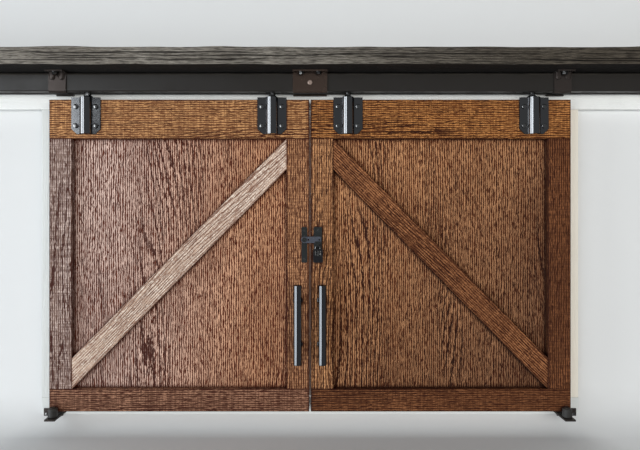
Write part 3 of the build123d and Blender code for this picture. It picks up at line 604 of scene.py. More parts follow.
def coated_steel(name, colour, gloss, wear=0.35, dust=0.2, peel=ORANGE_PEEL, metal=0.0, spot=None):
    """Powder coat or black plating. metal is how much of it shines like bare metal.

    gloss is the roughness where the coat is clean. spot is the middle and the radius of a screw
    head that has lost its coat.
    """
    material, tree, shader, place = start_material(name)
    worn_edges = use_group(tree, edge_wear_and_shade, vector=place, radius=WORN_RADIUS, breaks=160.0, amount=wear)
    wear_mask = worn_edges["Mask"]
    dust_mask = use_group(tree, settled_dust, vector=place, amount=dust)["Mask"]
    coat = blend_colours(tree, dust_mask, opaque(colour), PALE_DUST)
    colour = blend_colours(tree, wear_mask, coat, BARE_STEEL)
    if spot:
        middle, radius = spot
        away = add_node(tree, "ShaderNodeVectorMath", operation="DISTANCE")
        feed(tree, scaled_vector(tree, place, (1, 0, 1)), away.inputs[0])
        feed(tree, middle, away.inputs[1])
        on_head = remap(tree, away.outputs["Value"], radius, radius * 0.9)
        colour = blend_colours(tree, on_head, colour, RUBBED_HEAD)
    feed(tree, colour, shader.inputs["Base Color"])
    smears = remap(tree, cloud(tree, place, 22.0, 4.0, 0.65), 0.3, 0.7, gloss, gloss * SMEARED)
    feed(tree, multiply_add(tree, dust_mask, 0.4, smears), shader.inputs["Roughness"])
    shine = remap(tree, wear_mask, 0.0, 1.0, metal, 0.9)
    feed(tree, shine, shader.inputs["Metallic"])
    if metal:
        shader.inputs["Specular Tint"].default_value = EDGE_SHINE
    raise_surface(tree, shader, cloud(tree, place, 600.0, 2.0), peel)
    return material


# %% Coats of the steel pieces
CLAMP_DROP = 0.032
CLAMP_RADIUS = 0.0072
clamp_head = ((0.0, 0.0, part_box("hood_beam")[0].z - CLAMP_DROP), CLAMP_RADIUS)
bracket_wear = {"peel": FINE_PEEL, "wear": 0.35}
plated = {"peel": PLATED_PEEL, "metal": 1.0}

rail_coat = coated_steel("rail_coat", (0.022, 0.0195, 0.0175), gloss=0.32, wear=0.2, dust=0.4)
bracket_coat = coated_steel("bracket_coat", (0.070, 0.058, 0.053), gloss=0.18, metal=0.6, **bracket_wear)
splice_colour = (0.082, 0.058, 0.047)
splice_coat = coated_steel("splice_coat", splice_colour, 0.20, metal=0.5, spot=clamp_head, **bracket_wear)
hanger_coat = coated_steel("hanger_coat", (0.29, 0.29, 0.295), gloss=0.12, wear=0.3, **plated)
handle_plating = coated_steel("handle_plating", (0.205, 0.21, 0.22), 0.06, wear=0.1, dust=0.1, **plated)
screw_coat = coated_steel("screw_coat", (0.34, 0.335, 0.33), 0.20, wear=0.6, peel=0.00001, metal=1.0)
latch_coat = coated_steel("latch_coat", (0.016, 0.018, 0.018), gloss=0.36, wear=0.3)
flip_bar_coat = coated_steel("flip_bar_coat", (0.060, 0.066, 0.086), gloss=0.40, wear=0.5, dust=0.5)
lock_enamel = coated_steel("lock_enamel", (0.010, 0.010, 0.012), gloss=0.22, wear=0.4, dust=0.15)

finishes = {
    rail_coat: ["left_rail", "right_rail", "rail_stops"],
    bracket_coat: ["rail_brackets", "left_guide_bracket", "right_guide_bracket"],
    splice_coat: ["splice_bracket"],
    hanger_coat: [f"{side}_{place}_hanger" for side in ("left", "right") for place in ("inner", "outer")],
    latch_coat: ["latch_plate", "keeper_plate"],
    flip_bar_coat: ["latch_bar"],
    handle_plating: ["left_handle", "right_handle"],
    screw_coat: ["lag_screws", "guide_screws", "padlock_shackle"],
    lock_enamel: ["padlock_body"] + [f"padlock_dial_{number}" for number in (1, 2, 3)],
}
for group in ("hanger_bolts", "pendant_nuts", "handle_screws"):
    finishes[screw_coat] += [f"left_{group}", f"right_{group}"]
for material, node_names in finishes.items():
    for node_name in node_names:
        finish_piece(node_name, material)
print("coats:", len(finishes), "pieces with a coat:", sum(len(names) for names in finishes.values()))

# %% [markdown]
# # Trolleys, wheels and guide rollers
# The trolleys run hidden in the rail. Their trucks are zinc plated and their wheels are turned
# steel. Both have dull blotches and a fine relief. The guide rollers below are black nylon, which
# is rubbed greyer in bands.

# %% Zinc, turned steel and nylon
DULL_METAL = (0.30, 0.29, 0.27, 1.0)
DARK_NYLON = (0.012, 0.012, 0.012, 1.0)
RUBBED_NYLON = (0.055, 0.052, 0.048, 1.0)


def plated_steel(name, colour, roughness):
    material, tree, shader, place = start_material(name)
    blotches = cloud(tree, place, 60.0, 4.0, 0.6)
    feed(tree, blend_colours(tree, blotches, colour, DULL_METAL), shader.inputs["Base Color"])
    feed(tree, remap(tree, blotches, 0.3, 0.7, roughness, roughness + 0.2), shader.inputs["Roughness"])
    shader.inputs["Metallic"].default_value = 1.0
    raise_surface(tree, shader, cloud(tree, place, 700.0, 2.0), 0.0001, 0.4)
    return material


def nylon(name):
    material, tree, shader, place = start_material(name)
    rubbed = cloud(tree, scaled_vector(tree, place, (1.0, 1.0, 6.0)), 60.0, 3.0)
    colour = blend_colours(tree, rubbed, DARK_NYLON, RUBBED_NYLON)
    dust_mask = use_group(tree, settled_dust, vector=place, amount=0.15)["Mask"]
    feed(tree, blend_colours(tree, dust_mask, colour, PALE_DUST), shader.inputs["Base Color"])
    feed(tree, remap(tree, rubbed, 0.3, 0.7, 0.45, 0.65), shader.inputs["Roughness"])
    raise_surface(tree, shader, rubbed, 0.0002, 0.4)
    return material


zinc = plated_steel("zinc_plate", (0.58, 0.58, 0.60, 1.0), 0.35)
turned = plated_steel("turned_steel", (0.50, 0.50, 0.52, 1.0), 0.25)
roller_nylon = nylon("roller_nylon")
for side in ("left", "right"):
    finish_piece(f"{side}_guide_roller", roller_nylon)
    for place in ("inner", "outer"):
        finish_piece(f"{side}_{place}_trolley", zinc)
        for end in ("near", "far"):
            finish_piece(f"{side}_{place}_trolley_{end}_wheels", turned)
print("finishes so far:", len(bpy.data.materials))

# %% [markdown]
# # Weathered hood timber
# The heavy timber over the rail is bare wood gone grey brown. It is painted darker towards the right,
# as a painted falloff of the daylight that comes from the left, and it is painted dark underneath as
# painted shade. The finish uses the same sawn grain as the boards, with its rings closer together
# and drawn out longer.

# %% Material of the hood timber
TIMBER_GREY = (0.200, 0.176, 0.146, 1.0)
TIMBER_PALE = (0.38, 0.350, 0.302, 1.0)
TIMBER_GROOVE = (0.060, 0.050, 0.040, 1.0)
TIMBER_BARE = (0.25, 0.23, 0.20, 1.0)
TIMBER_RING = (0.03, 0.022, 0.016, 1.0)
# Tint of a painted falloff of light, darker towards the right.
PAINTED_FALLOFF_TINT = (0.36, 0.33, 0.29, 1.0)
# Colour of the painted shade on faces that look down.
UNDERSIDE_PAINTED_SHADE = (0.011, 0.008, 0.006, 1.0)
TIMBER_RELIEF = 0.0022


def weathered_timber(name):
    material, tree, shader, place = start_material(name)
    grain_place = turned_place(tree, place, 90, (6.1, 0.3, 0.2))
    grain = use_group(tree, sawn_grain, vector=grain_place, rings=120.0, wander=0.25, stretch=0.04)
    patches = remap(tree, cloud(tree, place, 5.0, 5.0, 0.65), 0.32, 0.68)
    bleached = blend_colours(tree, patches, TIMBER_GREY, TIMBER_PALE)
    fibres = remap(tree, grain["Fibre"], 0.35, 0.65)
    lined = blend_colours(tree, fibres, TIMBER_GROOVE, bleached)
    bare = calculate(tree, "MULTIPLY", grain["Torn"], 0.4)
    rubbed = blend_colours(tree, bare, lined, TIMBER_BARE)
    rings = calculate(tree, "MULTIPLY", grain["Ring"], 0.4)
    ringed = blend_colours(tree, rings, rubbed, TIMBER_RING)
    # Painted falloff of light: the timber is multiplied darker towards the right.
    timber_light_falloff = remap(tree, separate(tree, place)["X"], -0.45, 0.75)
    shaded = blend_colours(tree, timber_light_falloff, ringed, PAINTED_FALLOFF_TINT, "MULTIPLY")
    # Painted shade: faces that look down are painted nearly black.
    painted_underside_shade = remap(tree, true_normal_of(tree)["Z"], -0.35, -0.85)
    colour = blend_colours(tree, painted_underside_shade, shaded, UNDERSIDE_PAINTED_SHADE)
    feed(tree, colour, shader.inputs["Base Color"])
    feed(tree, remap(tree, grain["Fibre"], 0.2, 0.8, 0.9, 0.72), shader.inputs["Roughness"])
    raise_surface(tree, shader, grain["Height"], TIMBER_RELIEF)
    return material


timber_finish = weathered_timber("hood_timber")
finish_piece("hood_beam", timber_finish)
print("nodes of the timber's finish:", len(timber_finish.node_tree.nodes))

# %% [markdown]
# The real timber has no straight edge left, and drying cracks run along its grain. A material alone
# can't break an outline, so a finer mesh stands in for the plain beam: a grid wrapped round the same
# box. Its points lie closest in front, where it is seen. Each crack gets a place, a length and a
# depth by chance, from a fixed seed, so that they are the same in every run.

# %% Section and cracks of the hood timber
TIMBER_STEP = 0.008
FRONT_STEPS = 36
BACK_STEPS = 12
DEEP_STEPS = 20
CRACK_COUNT = 16
CRACK_SEED = 7
CRACK_MARGIN = 0.008
CRACK_SPREAD = 1.3
CRACK_HALF_LENGTHS = (0.12, 0.45)
CRACK_DEPTHS = (0.0025, 0.006)


def spaced(start, end, count):
    """Evenly spaced places from the start on, with the end left out."""
    return np.linspace(start, end, count, endpoint=False)


timber_low, timber_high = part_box("hood_beam")
section = [(timber_low.y, z) for z in spaced(timber_low.z, timber_high.z, FRONT_STEPS)]
section += [(y, timber_high.z) for y in spaced(timber_low.y, timber_high.y, DEEP_STEPS)]
section += [(timber_high.y, z) for z in spaced(timber_high.z, timber_low.z, BACK_STEPS)]
section += [(y, timber_low.z) for y in spaced(timber_high.y, timber_low.y, DEEP_STEPS)]
chance = np.random.default_rng(CRACK_SEED)
cracks = []
for number in range(CRACK_COUNT):
    cracks.append(
        {
            "height": chance.uniform(timber_low.z + CRACK_MARGIN, timber_high.z - CRACK_MARGIN),
            "middle": chance.uniform(-CRACK_SPREAD, CRACK_SPREAD),
            "half": chance.uniform(*CRACK_HALF_LENGTHS),
            "depth": chance.uniform(*CRACK_DEPTHS),
            "phase": chance.uniform(0.0, 50.0),
        }
    )
print("points round the timber:", len(section), "cracks:", len(cracks))

# %% [markdown]
# Every point of the grid is pushed inwards and never outwards, so the timber stays inside its box.
# A slow swell and a fine roughness go all over, chips break the front edges, and the cracks cut into
# the front face. Each noise runs slowly along the timber and fast across it, as wood wears. The
# underside stays almost flat, because the brackets are screwed up against it.

# %% Wear of the hood timber
CORNER_ROUND = 0.004
UNDERSIDE_LIMIT = 0.0005
EDGE_REACH = 0.014
CHIP_DEPTH = 0.0065
SWELL_DEPTH = 0.0007
ROUGH_DEPTH = 0.0008
CRACK_HALF_WIDTH = 0.0013
CRACK_WANDER = 0.005


def crack_depth(x, z):
    """How deep the drying cracks cut into the front face at this place."""
    deepest = 0.0
    for crack in cracks:
        along = (x - crack["middle"]) / crack["half"]
        if abs(along) >= 1:
            continue
        wander = CRACK_WANDER * noise.noise(Vector((x * 4.0, crack["phase"], 0.0)))
        away = (z - crack["height"] - wander) / CRACK_HALF_WIDTH
        depth = crack["depth"] * math.sqrt(1 - along * along) * math.exp(-away * away)
        deepest = max(deepest, depth)
    return deepest


def timber_point(x, y, z):
    """A point of the timber's skin: the plain box with rounded corners, worn and cracked inwards."""
    inner_y = min(max(y, timber_low.y + CORNER_ROUND), timber_high.y - CORNER_ROUND)
    inner_z = min(max(z, timber_low.z + CORNER_ROUND), timber_high.z - CORNER_ROUND)
    outward = Vector((0.0, y - inner_y, z - inner_z)).normalized()
    skin = Vector((x, inner_y, inner_z)) + outward * CORNER_ROUND
    near_front = skin.y < timber_low.y + EDGE_REACH
    from_edge = min(abs(skin.z - timber_low.z), abs(timber_high.z - skin.z)) if near_front else 1.0
    from_edge = max(from_edge, skin.y - timber_low.y)
    broken = max(0.0, noise.noise(Vector((x * 7.0, z * 30.0, 4.0))) + 0.25)
    chip = CHIP_DEPTH * broken * max(0.0, 1 - from_edge / EDGE_REACH)
    swell = SWELL_DEPTH * (1 + noise.noise(Vector((x * 2.0, y * 9.0, z * 20.0))))
    rough = ROUGH_DEPTH * (1 + noise.noise(Vector((x * 14.0, y * 110.0, z * 150.0))))
    inward = swell + rough + chip
    if outward.y < -0.9:
        inward += crack_depth(x, z)
    if outward.z < -0.9 and not near_front:
        inward = min(inward, UNDERSIDE_LIMIT)
    return skin - outward * inward


# %% Mesh of the hood timber
steps = round((timber_high.x - timber_low.x) / TIMBER_STEP)
around = len(section)
points = []
for x in np.linspace(timber_low.x, timber_high.x, steps + 1):
    for y, z in section:
        points.append(timber_point(x, y, z))
faces = []
for step in range(steps):
    for place in range(around):
        corner = step * around + place
        beside = step * around + (place + 1) % around
        faces.append((corner, corner + around, beside + around, beside))
middle_y = (timber_low.y + timber_high.y) / 2
middle_z = (timber_low.z + timber_high.z) / 2
for end, x in ((0, timber_low.x), (steps, timber_high.x)):
    hub = len(points)
    points.append(Vector((x, middle_y, middle_z)))
    for place in range(around):
        corner = end * around + place
        beside = end * around + (place + 1) % around
        faces.append((hub, corner, beside) if end == 0 else (hub, beside, corner))
timber_mesh = bpy.data.meshes.new("hood_timber")
timber_mesh.from_pydata(points, [], faces)
timber_mesh.materials.append(timber_finish)
timber_mesh.shade_smooth()
timber = new_object("hood_timber", timber_mesh)
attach(timber, "frame")
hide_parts("hood_beam")
print("hood timber faces:", len(faces))

# %% [markdown]
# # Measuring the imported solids
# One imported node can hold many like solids, such as all the bolts of a leaf. To stand finer pieces
# in their places, the script must know where each solid is. It welds a copy of the node's loose
# triangles, walks from point to point until a solid is complete, and keeps the box round it.

# %% Boxes of the solids in a node
WELD_GAP = 0.00001


def welded_copy(node_name):
    """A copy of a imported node's mesh with its loose triangles joined where their corners meet."""
    mesh = bmesh.new()
    mesh.from_mesh(frame["nodes"][node_name].data)
    bmesh.ops.remove_doubles(mesh, verts=mesh.verts, dist=WELD_GAP)
    return mesh


def solid_boxes(node_name):
    """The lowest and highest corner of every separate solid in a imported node."""
    mesh = welded_copy(node_name)
    waiting = set(mesh.verts)
    boxes = []
    while waiting:
        island = [waiting.pop()]
        for vertex in island:
            for edge in vertex.link_edges:
                other = edge.other_vert(vertex)
                if other in waiting:
                    waiting.discard(other)
                    island.append(other)
        points = np.array([vertex.co for vertex in island])
        boxes.append((Vector(points.min(axis=0)), Vector(points.max(axis=0))))
    mesh.free()
    boxes.sort(key=lambda box: [round(value, 5) for value in box[0]])
    return boxes


print("solids among the left hanger bolts:", len(solid_boxes("left_hanger_bolts")))

# %% [markdown]
# # Growing pieces with Geometry Nodes
# Screws and ridges repeat, so Geometry Nodes make them. Each tree takes loose points and named
# sizes, builds one shape from simple parts, sets a copy on every point and ends in one plain mesh.
# The helpers below make such a tree and turn the copies to face one way, each by its own angle.

# %% Helpers for Geometry Nodes
PLACING_INPUTS = [
    ("Axis", "NodeSocketVector", (0.0, -1.0, 0.0)),
    ("Seed", "NodeSocketInt", 1),
    ("Material", "NodeSocketMaterial", None),
]


def new_tree(name, sizes):
    """A tree with a geometry socket and named inputs. Each size is a name, a kind and a value."""
    tree = bpy.data.node_groups.new(name, "GeometryNodeTree")
    tree.interface.new_socket("Geometry", in_out="OUTPUT", socket_type="NodeSocketGeometry")
    tree.interface.new_socket("Geometry", in_out="INPUT", socket_type="NodeSocketGeometry")
    for socket_name, kind, start in sizes + PLACING_INPUTS:
        socket = tree.interface.new_socket(socket_name, in_out="INPUT", socket_type=kind)
        if start is not None:
            socket.default_value = start
    return tree, add_node(tree, "NodeGroupInput").outputs, add_node(tree, "NodeGroupOutput").inputs


def node_with(tree, kind, values, **settings):
    """A node whose named sockets are filled from values. Returns its first output."""
    node = add_node(tree, kind, **settings)
    for name, value in values.items():
        feed(tree, value, node.inputs[name])
    return node.outputs[0]


def joined(tree, parts):
    join = add_node(tree, "GeometryNodeJoinGeometry")
    for part in parts:
        tree.links.new(part, join.inputs[0])
    return join.outputs[0]


def round_bar(tree, radius, low, high, sides):
    """An upright cylinder between two heights."""
    length = calculate(tree, "SUBTRACT", high, low)
    middle = multiply_add(tree, length, 0.5, low)
    values = {"Radius": radius, "Depth": length, "Vertices": sides}
    bar = node_with(tree, "GeometryNodeMeshCylinder", values)
    lift = node_with(tree, "ShaderNodeCombineXYZ", {"Z": middle})
    return node_with(tree, "GeometryNodeTransform", {"Geometry": bar, "Translation": lift})


def copies_on_points(tree, given, shape, spin):
    """Sets the shape on every point, its third axis along Axis, each turned by a random angle."""
    facing = node_with(tree, "FunctionNodeAlignRotationToVector", {"Vector": given["Axis"]}, axis="Z")
    chance = add_node(tree, "FunctionNodeRandomValue", data_type="FLOAT")
    chance.inputs[3].default_value = spin
    feed(tree, given["Seed"], chance.inputs["Seed"])
    turned = node_with(tree, "FunctionNodeAxisAngleToRotation", {"Angle": chance.outputs[1]})
    values = {"Rotation": facing, "Rotate By": turned}
    rotation = node_with(tree, "FunctionNodeRotateRotation", values, rotation_space="LOCAL")
    values = {"Points": given["Geometry"], "Instance": shape, "Rotation": rotation}
    copies = node_with(tree, "GeometryNodeInstanceOnPoints", values)
    plain = node_with(tree, "GeometryNodeRealizeInstances", {"Geometry": copies})
    return node_with(tree, "GeometryNodeSetMaterial", {"Geometry": plain, "Material": given["Material"]})


# %% [markdown]
# A tree runs as a modifier on a carrier, which is an object that holds nothing but the points. The
# evaluated carrier is turned into a plain mesh, because later steps only read plain meshes, and the
# carrier goes. Faces that meet at a clear angle keep their edge, and the rest is shaded smooth.

# %% Function that grows pieces on points
SMOOTH_ANGLE = math.radians(24)


def settled_mesh(carrier, name):
    """The plain mesh that a carrier's modifiers or text come to. The carrier itself goes."""
    settled = carrier.evaluated_get(bpy.context.evaluated_depsgraph_get())
    mesh = bpy.data.meshes.new_from_object(settled)
    bpy.data.objects.remove(carrier)
    mesh.name = name
    return mesh


def plain_piece(name, mesh):
    """A mesh as an object at the origin, smooth except where faces meet at a clear angle."""
    mesh.shade_smooth()
    mesh.set_sharp_from_angle(angle=SMOOTH_ANGLE)
    return new_object(name, mesh)


def grow(tree, name, points, **sizes):
    """Runs a tree on loose points. Gives a plain mesh object."""
    carrier_mesh = bpy.data.meshes.new(name + "_points")
    carrier_mesh.from_pydata(points, [], [])
    carrier = new_object(name + "_points", carrier_mesh)
    modifier = carrier.modifiers.new("grow", "NODES")
    modifier.node_group = tree
    wanted = {key.replace("_", " ").capitalize(): value for key, value in sizes.items()}
    for socket in tree.interface.items_tree:
        if socket.in_out == "INPUT" and socket.name in wanted:
            modifier[socket.identifier] = wanted[socket.name]
    return plain_piece(name, settled_mesh(carrier, name))


# %% [markdown]
# # Rounded edges on the steel
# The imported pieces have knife-sharp edges, and their curves are rows of small flats. On black steel
# the eye sees little but edges and streaks, so the pieces in view are stood in for by copies. Each
# copy is welded, its edges get a narrow round by a Bevel modifier, and its normals are weighted by
# area, so that a curve runs smoothly into a flat and still reflects one clean streak.

# %% Function for a rounded copy
ROUND_FROM = math.radians(38)
ROUND_WIDTH = 0.0005
FLAT_BELOW = 0.002


def rounded_copy(node_name, body, material):
    """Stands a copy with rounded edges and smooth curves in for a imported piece."""
    packed = welded_copy(node_name)
    inner_edges = [edge for edge in packed.edges if len(edge.link_faces) == 2]
    flat_edges = [edge for edge in inner_edges if edge.calc_face_angle() < FLAT_BELOW]
    bmesh.ops.dissolve_edges(packed, edges=flat_edges, use_verts=False)
    mesh = bpy.data.meshes.new(node_name + "_welded")
    packed.to_mesh(mesh)
    packed.free()
    mesh.shade_smooth()
    mesh.set_sharp_from_angle(angle=ROUND_FROM)
    carrier = new_object(node_name + "_welded", mesh)
    bevel = carrier.modifiers.new("rounded edges", "BEVEL")
    bevel.width = ROUND_WIDTH
    bevel.segments = 2
    bevel.limit_method = "ANGLE"
    bevel.angle_limit = ROUND_FROM
    bevel.harden_normals = False
    weighted = carrier.modifiers.new("weighted normals", "WEIGHTED_NORMAL")
    weighted.keep_sharp = False
    rounded_mesh = settled_mesh(carrier, node_name + "_rounded")
    rounded_mesh.materials.clear()
    rounded_mesh.materials.append(material)
    piece = new_object(node_name + "_rounded", rounded_mesh)
    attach(piece, body)
    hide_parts(node_name)


# %% [markdown]
# Hangers, handles, brackets, latch bar and padlock are in plain view, and the guide rollers stand
# free at the lower corners, so these get rounded copies. The rail has no streaks to lose and the
# latch plates lie flat, so they stay as packed.

# %% Round the hangers, handles and brackets
for side in ("left", "right"):
    for place in ("inner", "outer"):
        rounded_copy(f"{side}_{place}_hanger", f"{side}_leaf", hanger_coat)
    rounded_copy(f"{side}_handle", f"{side}_leaf", handle_plating)
    rounded_copy(f"{side}_guide_bracket", "frame", bracket_coat)
    rounded_copy(f"{side}_guide_roller", f"{side}_guide_roller", roller_nylon)
rounded_copy("rail_brackets", "frame", bracket_coat)
rounded_copy("splice_bracket", "frame", splice_coat)
rounded_copy("latch_bar", "latch_bar", flip_bar_coat)
rounded_copy("padlock_shackle", "padlock_shackle", screw_coat)
rounded_copy("padlock_body", "padlock_body", lock_enamel)
rounded_pieces = [piece for piece in bpy.data.objects if piece.name.endswith("_rounded")]
counts = [len(piece.data.polygons) for piece in rounded_pieces]
print("rounded copies:", len(counts), "faces:", sum(counts))

# %% [markdown]
# # Hexagon bolts, nuts and lag screws
# A real hexagon head has its corners cut back by a cone and a slightly domed top, and no two heads
# stop at the same turn. Those small slopes catch the light, so flat heads would look dead. The tree
# starts from a drum and moves its points: the rim goes out to the six flats, the ring inside it
# becomes the edge of the cone, and the rings further in rise to the dome. A thin round collar lies
# under the head, and a shank goes through.

# %% Helpers for screw heads
def blank_head(tree, sides, rings):
    """A drum with rings on its ends, 1 in radius. Gives it and the X, Y and Z of its points."""
    values = {"Vertices": sides, "Fill Segments": rings, "Radius": 1.0, "Depth": 2.0}
    blank = node_with(tree, "GeometryNodeMeshCylinder", values, fill_type="TRIANGLE_FAN")
    position = add_node(tree, "GeometryNodeInputPosition").outputs[0]
    return blank, *separate(tree, position)


def shaped_head(tree, blank, x, y, z):
    place = node_with(tree, "ShaderNodeCombineXYZ", {"X": x, "Y": y, "Z": z})
    return node_with(tree, "GeometryNodeSetPosition", {"Geometry": blank, "Position": place})


# %% Geometry Nodes: hexagon screws
HEAD_SIDES = 36
HEAD_RINGS = 4
CONE_SLOPE = math.tan(math.radians(32))
CONE_START = 0.88
SHANK_SIDES = 20

hexagon_screws, given, result = new_tree(
    "hexagon_screws",
    [
        ("Flats", "NodeSocketFloat", 0.013),
        ("Height", "NodeSocketFloat", 0.005),
        ("Dome", "NodeSocketFloat", 0.001),
        ("Collar radius", "NodeSocketFloat", 0.006),
        ("Collar height", "NodeSocketFloat", 0.0004),
        ("Shank radius", "NodeSocketFloat", 0.004),
        ("Shank low", "NodeSocketFloat", -0.03),
        ("Shank high", "NodeSocketFloat", 0.002),
    ],
)
tree = hexagon_screws
blank, aside, ahead, above = blank_head(tree, HEAD_SIDES, HEAD_RINGS)
squared = multiply_add(tree, aside, aside, calculate(tree, "MULTIPLY", ahead, ahead))
out = calculate(tree, "SQRT", squared)
turn = calculate(tree, "ARCTAN2", ahead, aside)
flat_radius = calculate(tree, "MULTIPLY", given["Flats"], 0.5)
from_flat = calculate(tree, "PINGPONG", turn, math.pi / 6)
hexagon_radius = calculate(tree, "DIVIDE", flat_radius, calculate(tree, "COSINE", from_flat))
cone_radius = calculate(tree, "MULTIPLY", flat_radius, CONE_START)
inside = calculate(tree, "MULTIPLY", out, HEAD_RINGS / (HEAD_RINGS - 1))
is_rim = calculate(tree, "GREATER_THAN", out, 1 - 0.5 / HEAD_RINGS)
is_inside = calculate(tree, "SUBTRACT", 1.0, is_rim)
inner_radius = calculate(tree, "MULTIPLY", calculate(tree, "MULTIPLY", inside, cone_radius), is_inside)
radius = multiply_add(tree, hexagon_radius, is_rim, inner_radius)
hollow = calculate(tree, "SUBTRACT", 1.0, calculate(tree, "MULTIPLY", inside, inside))
domed = calculate(tree, "MULTIPLY", calculate(tree, "MULTIPLY", hollow, given["Dome"]), is_inside)
beyond_cone = calculate(tree, "SUBTRACT", hexagon_radius, cone_radius)
cut_back = calculate(tree, "MULTIPLY", calculate(tree, "MULTIPLY", beyond_cone, CONE_SLOPE), is_rim)
top = calculate(tree, "ADD", given["Height"], calculate(tree, "SUBTRACT", domed, cut_back))
is_top = calculate(tree, "GREATER_THAN", above, 0.0)
height = multiply_add(tree, top, is_top, given["Collar height"])
new_aside = calculate(tree, "MULTIPLY", radius, calculate(tree, "COSINE", turn))
new_ahead = calculate(tree, "MULTIPLY", radius, calculate(tree, "SINE", turn))
head = shaped_head(tree, blank, new_aside, new_ahead, height)
collar = round_bar(tree, given["Collar radius"], 0.0, given["Collar height"], HEAD_SIDES)
shank = round_bar(tree, given["Shank radius"], given["Shank low"], given["Shank high"], SHANK_SIDES)
screw = joined(tree, [head, collar, shank])
feed(tree, copies_on_points(tree, given, screw, math.pi / 3), result[0])
print("nodes in the tree of the hexagon screws:", len(tree.nodes))

# %% [markdown]
# Each hanger bolt goes through apron and leaf to a nut behind, which lies in a pocket of the leaf.
# The boxes tell which solid is which: a bolt is long from front to back, and a nut is short. The
# dome is part of a head's height, so that no head stands out of its box.

# %% Set the hanger bolts and nuts
BOLT_HEAD = 0.0053
BOLT_DOME = 0.0010
BOLT_SEEDS = {"left": 3, "right": 8}
NUT_HEIGHT = 0.006
bolt_sizes = {"flats": 0.013, "collar_radius": 0.0064, "collar_height": 0.0005, "material": screw_coat}


def middle_at(box, **given_place):
    """The middle of a box, with any of x, y and z put where it is wanted."""
    middle = (box[0] + box[1]) / 2
    for axis, value in given_place.items():
        setattr(middle, axis, value)
    return tuple(middle)


for side in ("left", "right"):
    node_name = f"{side}_hanger_bolts"
    boxes = solid_boxes(node_name)
    bolts = [box for box in boxes if box[1].y - box[0].y > 2 * NUT_HEIGHT]
    nuts = [box for box in boxes if box not in bolts]
    length = bolts[0][1].y - bolts[0][0].y
    heads = grow(
        hexagon_screws,
        f"{side}_hanger_bolt_heads",
        [middle_at(box, y=box[0].y + BOLT_HEAD) for box in bolts],
        height=BOLT_HEAD - bolt_sizes["collar_height"] - BOLT_DOME,
        dome=BOLT_DOME,
        shank_low=BOLT_HEAD - length,
        seed=BOLT_SEEDS[side],
        **bolt_sizes,
    )
    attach(heads, f"{side}_leaf")
    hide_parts(node_name)
    back_nuts = grow(
        hexagon_screws,
        f"{side}_hanger_nuts",
        [middle_at(box, y=box[0].y) for box in nuts],
        height=NUT_HEIGHT - bolt_sizes["collar_height"],
        dome=0.0,
        shank_low=0.0,
        axis=(0.0, 1.0, 0.0),
        seed=5,
        **bolt_sizes,
    )
    print(side, "hanger bolts:", len(bolts), "nuts:", len(nuts))
    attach(back_nuts, f"{side}_leaf")

# %% [markdown]
# The lag screws hold the rail brackets. They point up into the timber, and each head sits on a wide
# washer, which the tree makes as a thicker and wider collar.

# %% Set the lag screws
LAG_HEAD = 0.008
LAG_COLLAR = 0.0016
LAG_DOME = 0.0012
LAG_COLLAR_RADIUS = 0.0085

boxes = solid_boxes("lag_screws")
lags = grow(
    hexagon_screws,
    "lag_screw_heads",
    [middle_at(box, z=box[0].z + LAG_HEAD + LAG_COLLAR) for box in boxes],
    flats=bolt_sizes["flats"],
    height=LAG_HEAD - LAG_DOME,
    dome=LAG_DOME,
    collar_radius=LAG_COLLAR_RADIUS,
    collar_height=LAG_COLLAR,
    shank_low=LAG_HEAD + LAG_COLLAR - (boxes[0][1].z - boxes[0][0].z),
    axis=(0.0, 0.0, -1.0),
    seed=12,
    material=screw_coat,
)
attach(lags, "frame")
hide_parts("lag_screws")
print("lag screws:", len(boxes))

# %% [markdown]
# # Round screws with a cross
# The guide brackets are held by small round-headed screws, and the latch plates by countersunk ones
# that lie almost flush, because the flip bar swings close over them. Both come from one tree: a
# domed disc from a cylinder whose rings are lifted to a rounded profile, with two crossed slots cut
# out by a boolean, as the driver needs.

# %% Geometry Nodes: cross screws
DISC_SIDES = 32
DISC_RINGS = 5
PIN_SIDES = 16
CROSS_LENGTH = 1.1
CROSS_WIDTH = 0.24

cross_screws, given, result = new_tree(
    "cross_screws",
    [
        ("Head radius", "NodeSocketFloat", 0.005),
        ("Height", "NodeSocketFloat", 0.0025),
        ("Rim", "NodeSocketFloat", 0.3),
        ("Slot depth", "NodeSocketFloat", 0.0012),
        ("Shank radius", "NodeSocketFloat", 0.0025),
        ("Shank low", "NodeSocketFloat", -0.01),
    ],
)
tree = cross_screws
blank, aside, ahead, above = blank_head(tree, DISC_SIDES, DISC_RINGS)
squared = multiply_add(tree, aside, aside, calculate(tree, "MULTIPLY", ahead, ahead))
rounding = calculate(tree, "SQRT", calculate(tree, "SUBTRACT", 1.0, squared, True))
risen = multiply_add(tree, rounding, calculate(tree, "SUBTRACT", 1.0, given["Rim"]), given["Rim"])
is_top = calculate(tree, "GREATER_THAN", above, 0.0)
new_aside = calculate(tree, "MULTIPLY", aside, given["Head radius"])
new_ahead = calculate(tree, "MULTIPLY", ahead, given["Head radius"])
height = calculate(tree, "MULTIPLY", calculate(tree, "MULTIPLY", risen, given["Height"]), is_top)
disc = shaped_head(tree, blank, new_aside, new_ahead, height)
long_side = calculate(tree, "MULTIPLY", given["Head radius"], CROSS_LENGTH)
short_side = calculate(tree, "MULTIPLY", given["Head radius"], CROSS_WIDTH)
twice_deep = calculate(tree, "MULTIPLY", given["Slot depth"], 2.0)
lift = node_with(tree, "ShaderNodeCombineXYZ", {"Z": given["Height"]})
slots = []
for across, along in ((long_side, short_side), (short_side, long_side)):
    size = node_with(tree, "ShaderNodeCombineXYZ", {"X": across, "Y": along, "Z": twice_deep})
    block = node_with(tree, "GeometryNodeMeshCube", {"Size": size})
    slots.append(node_with(tree, "GeometryNodeTransform", {"Geometry": block, "Translation": lift}))
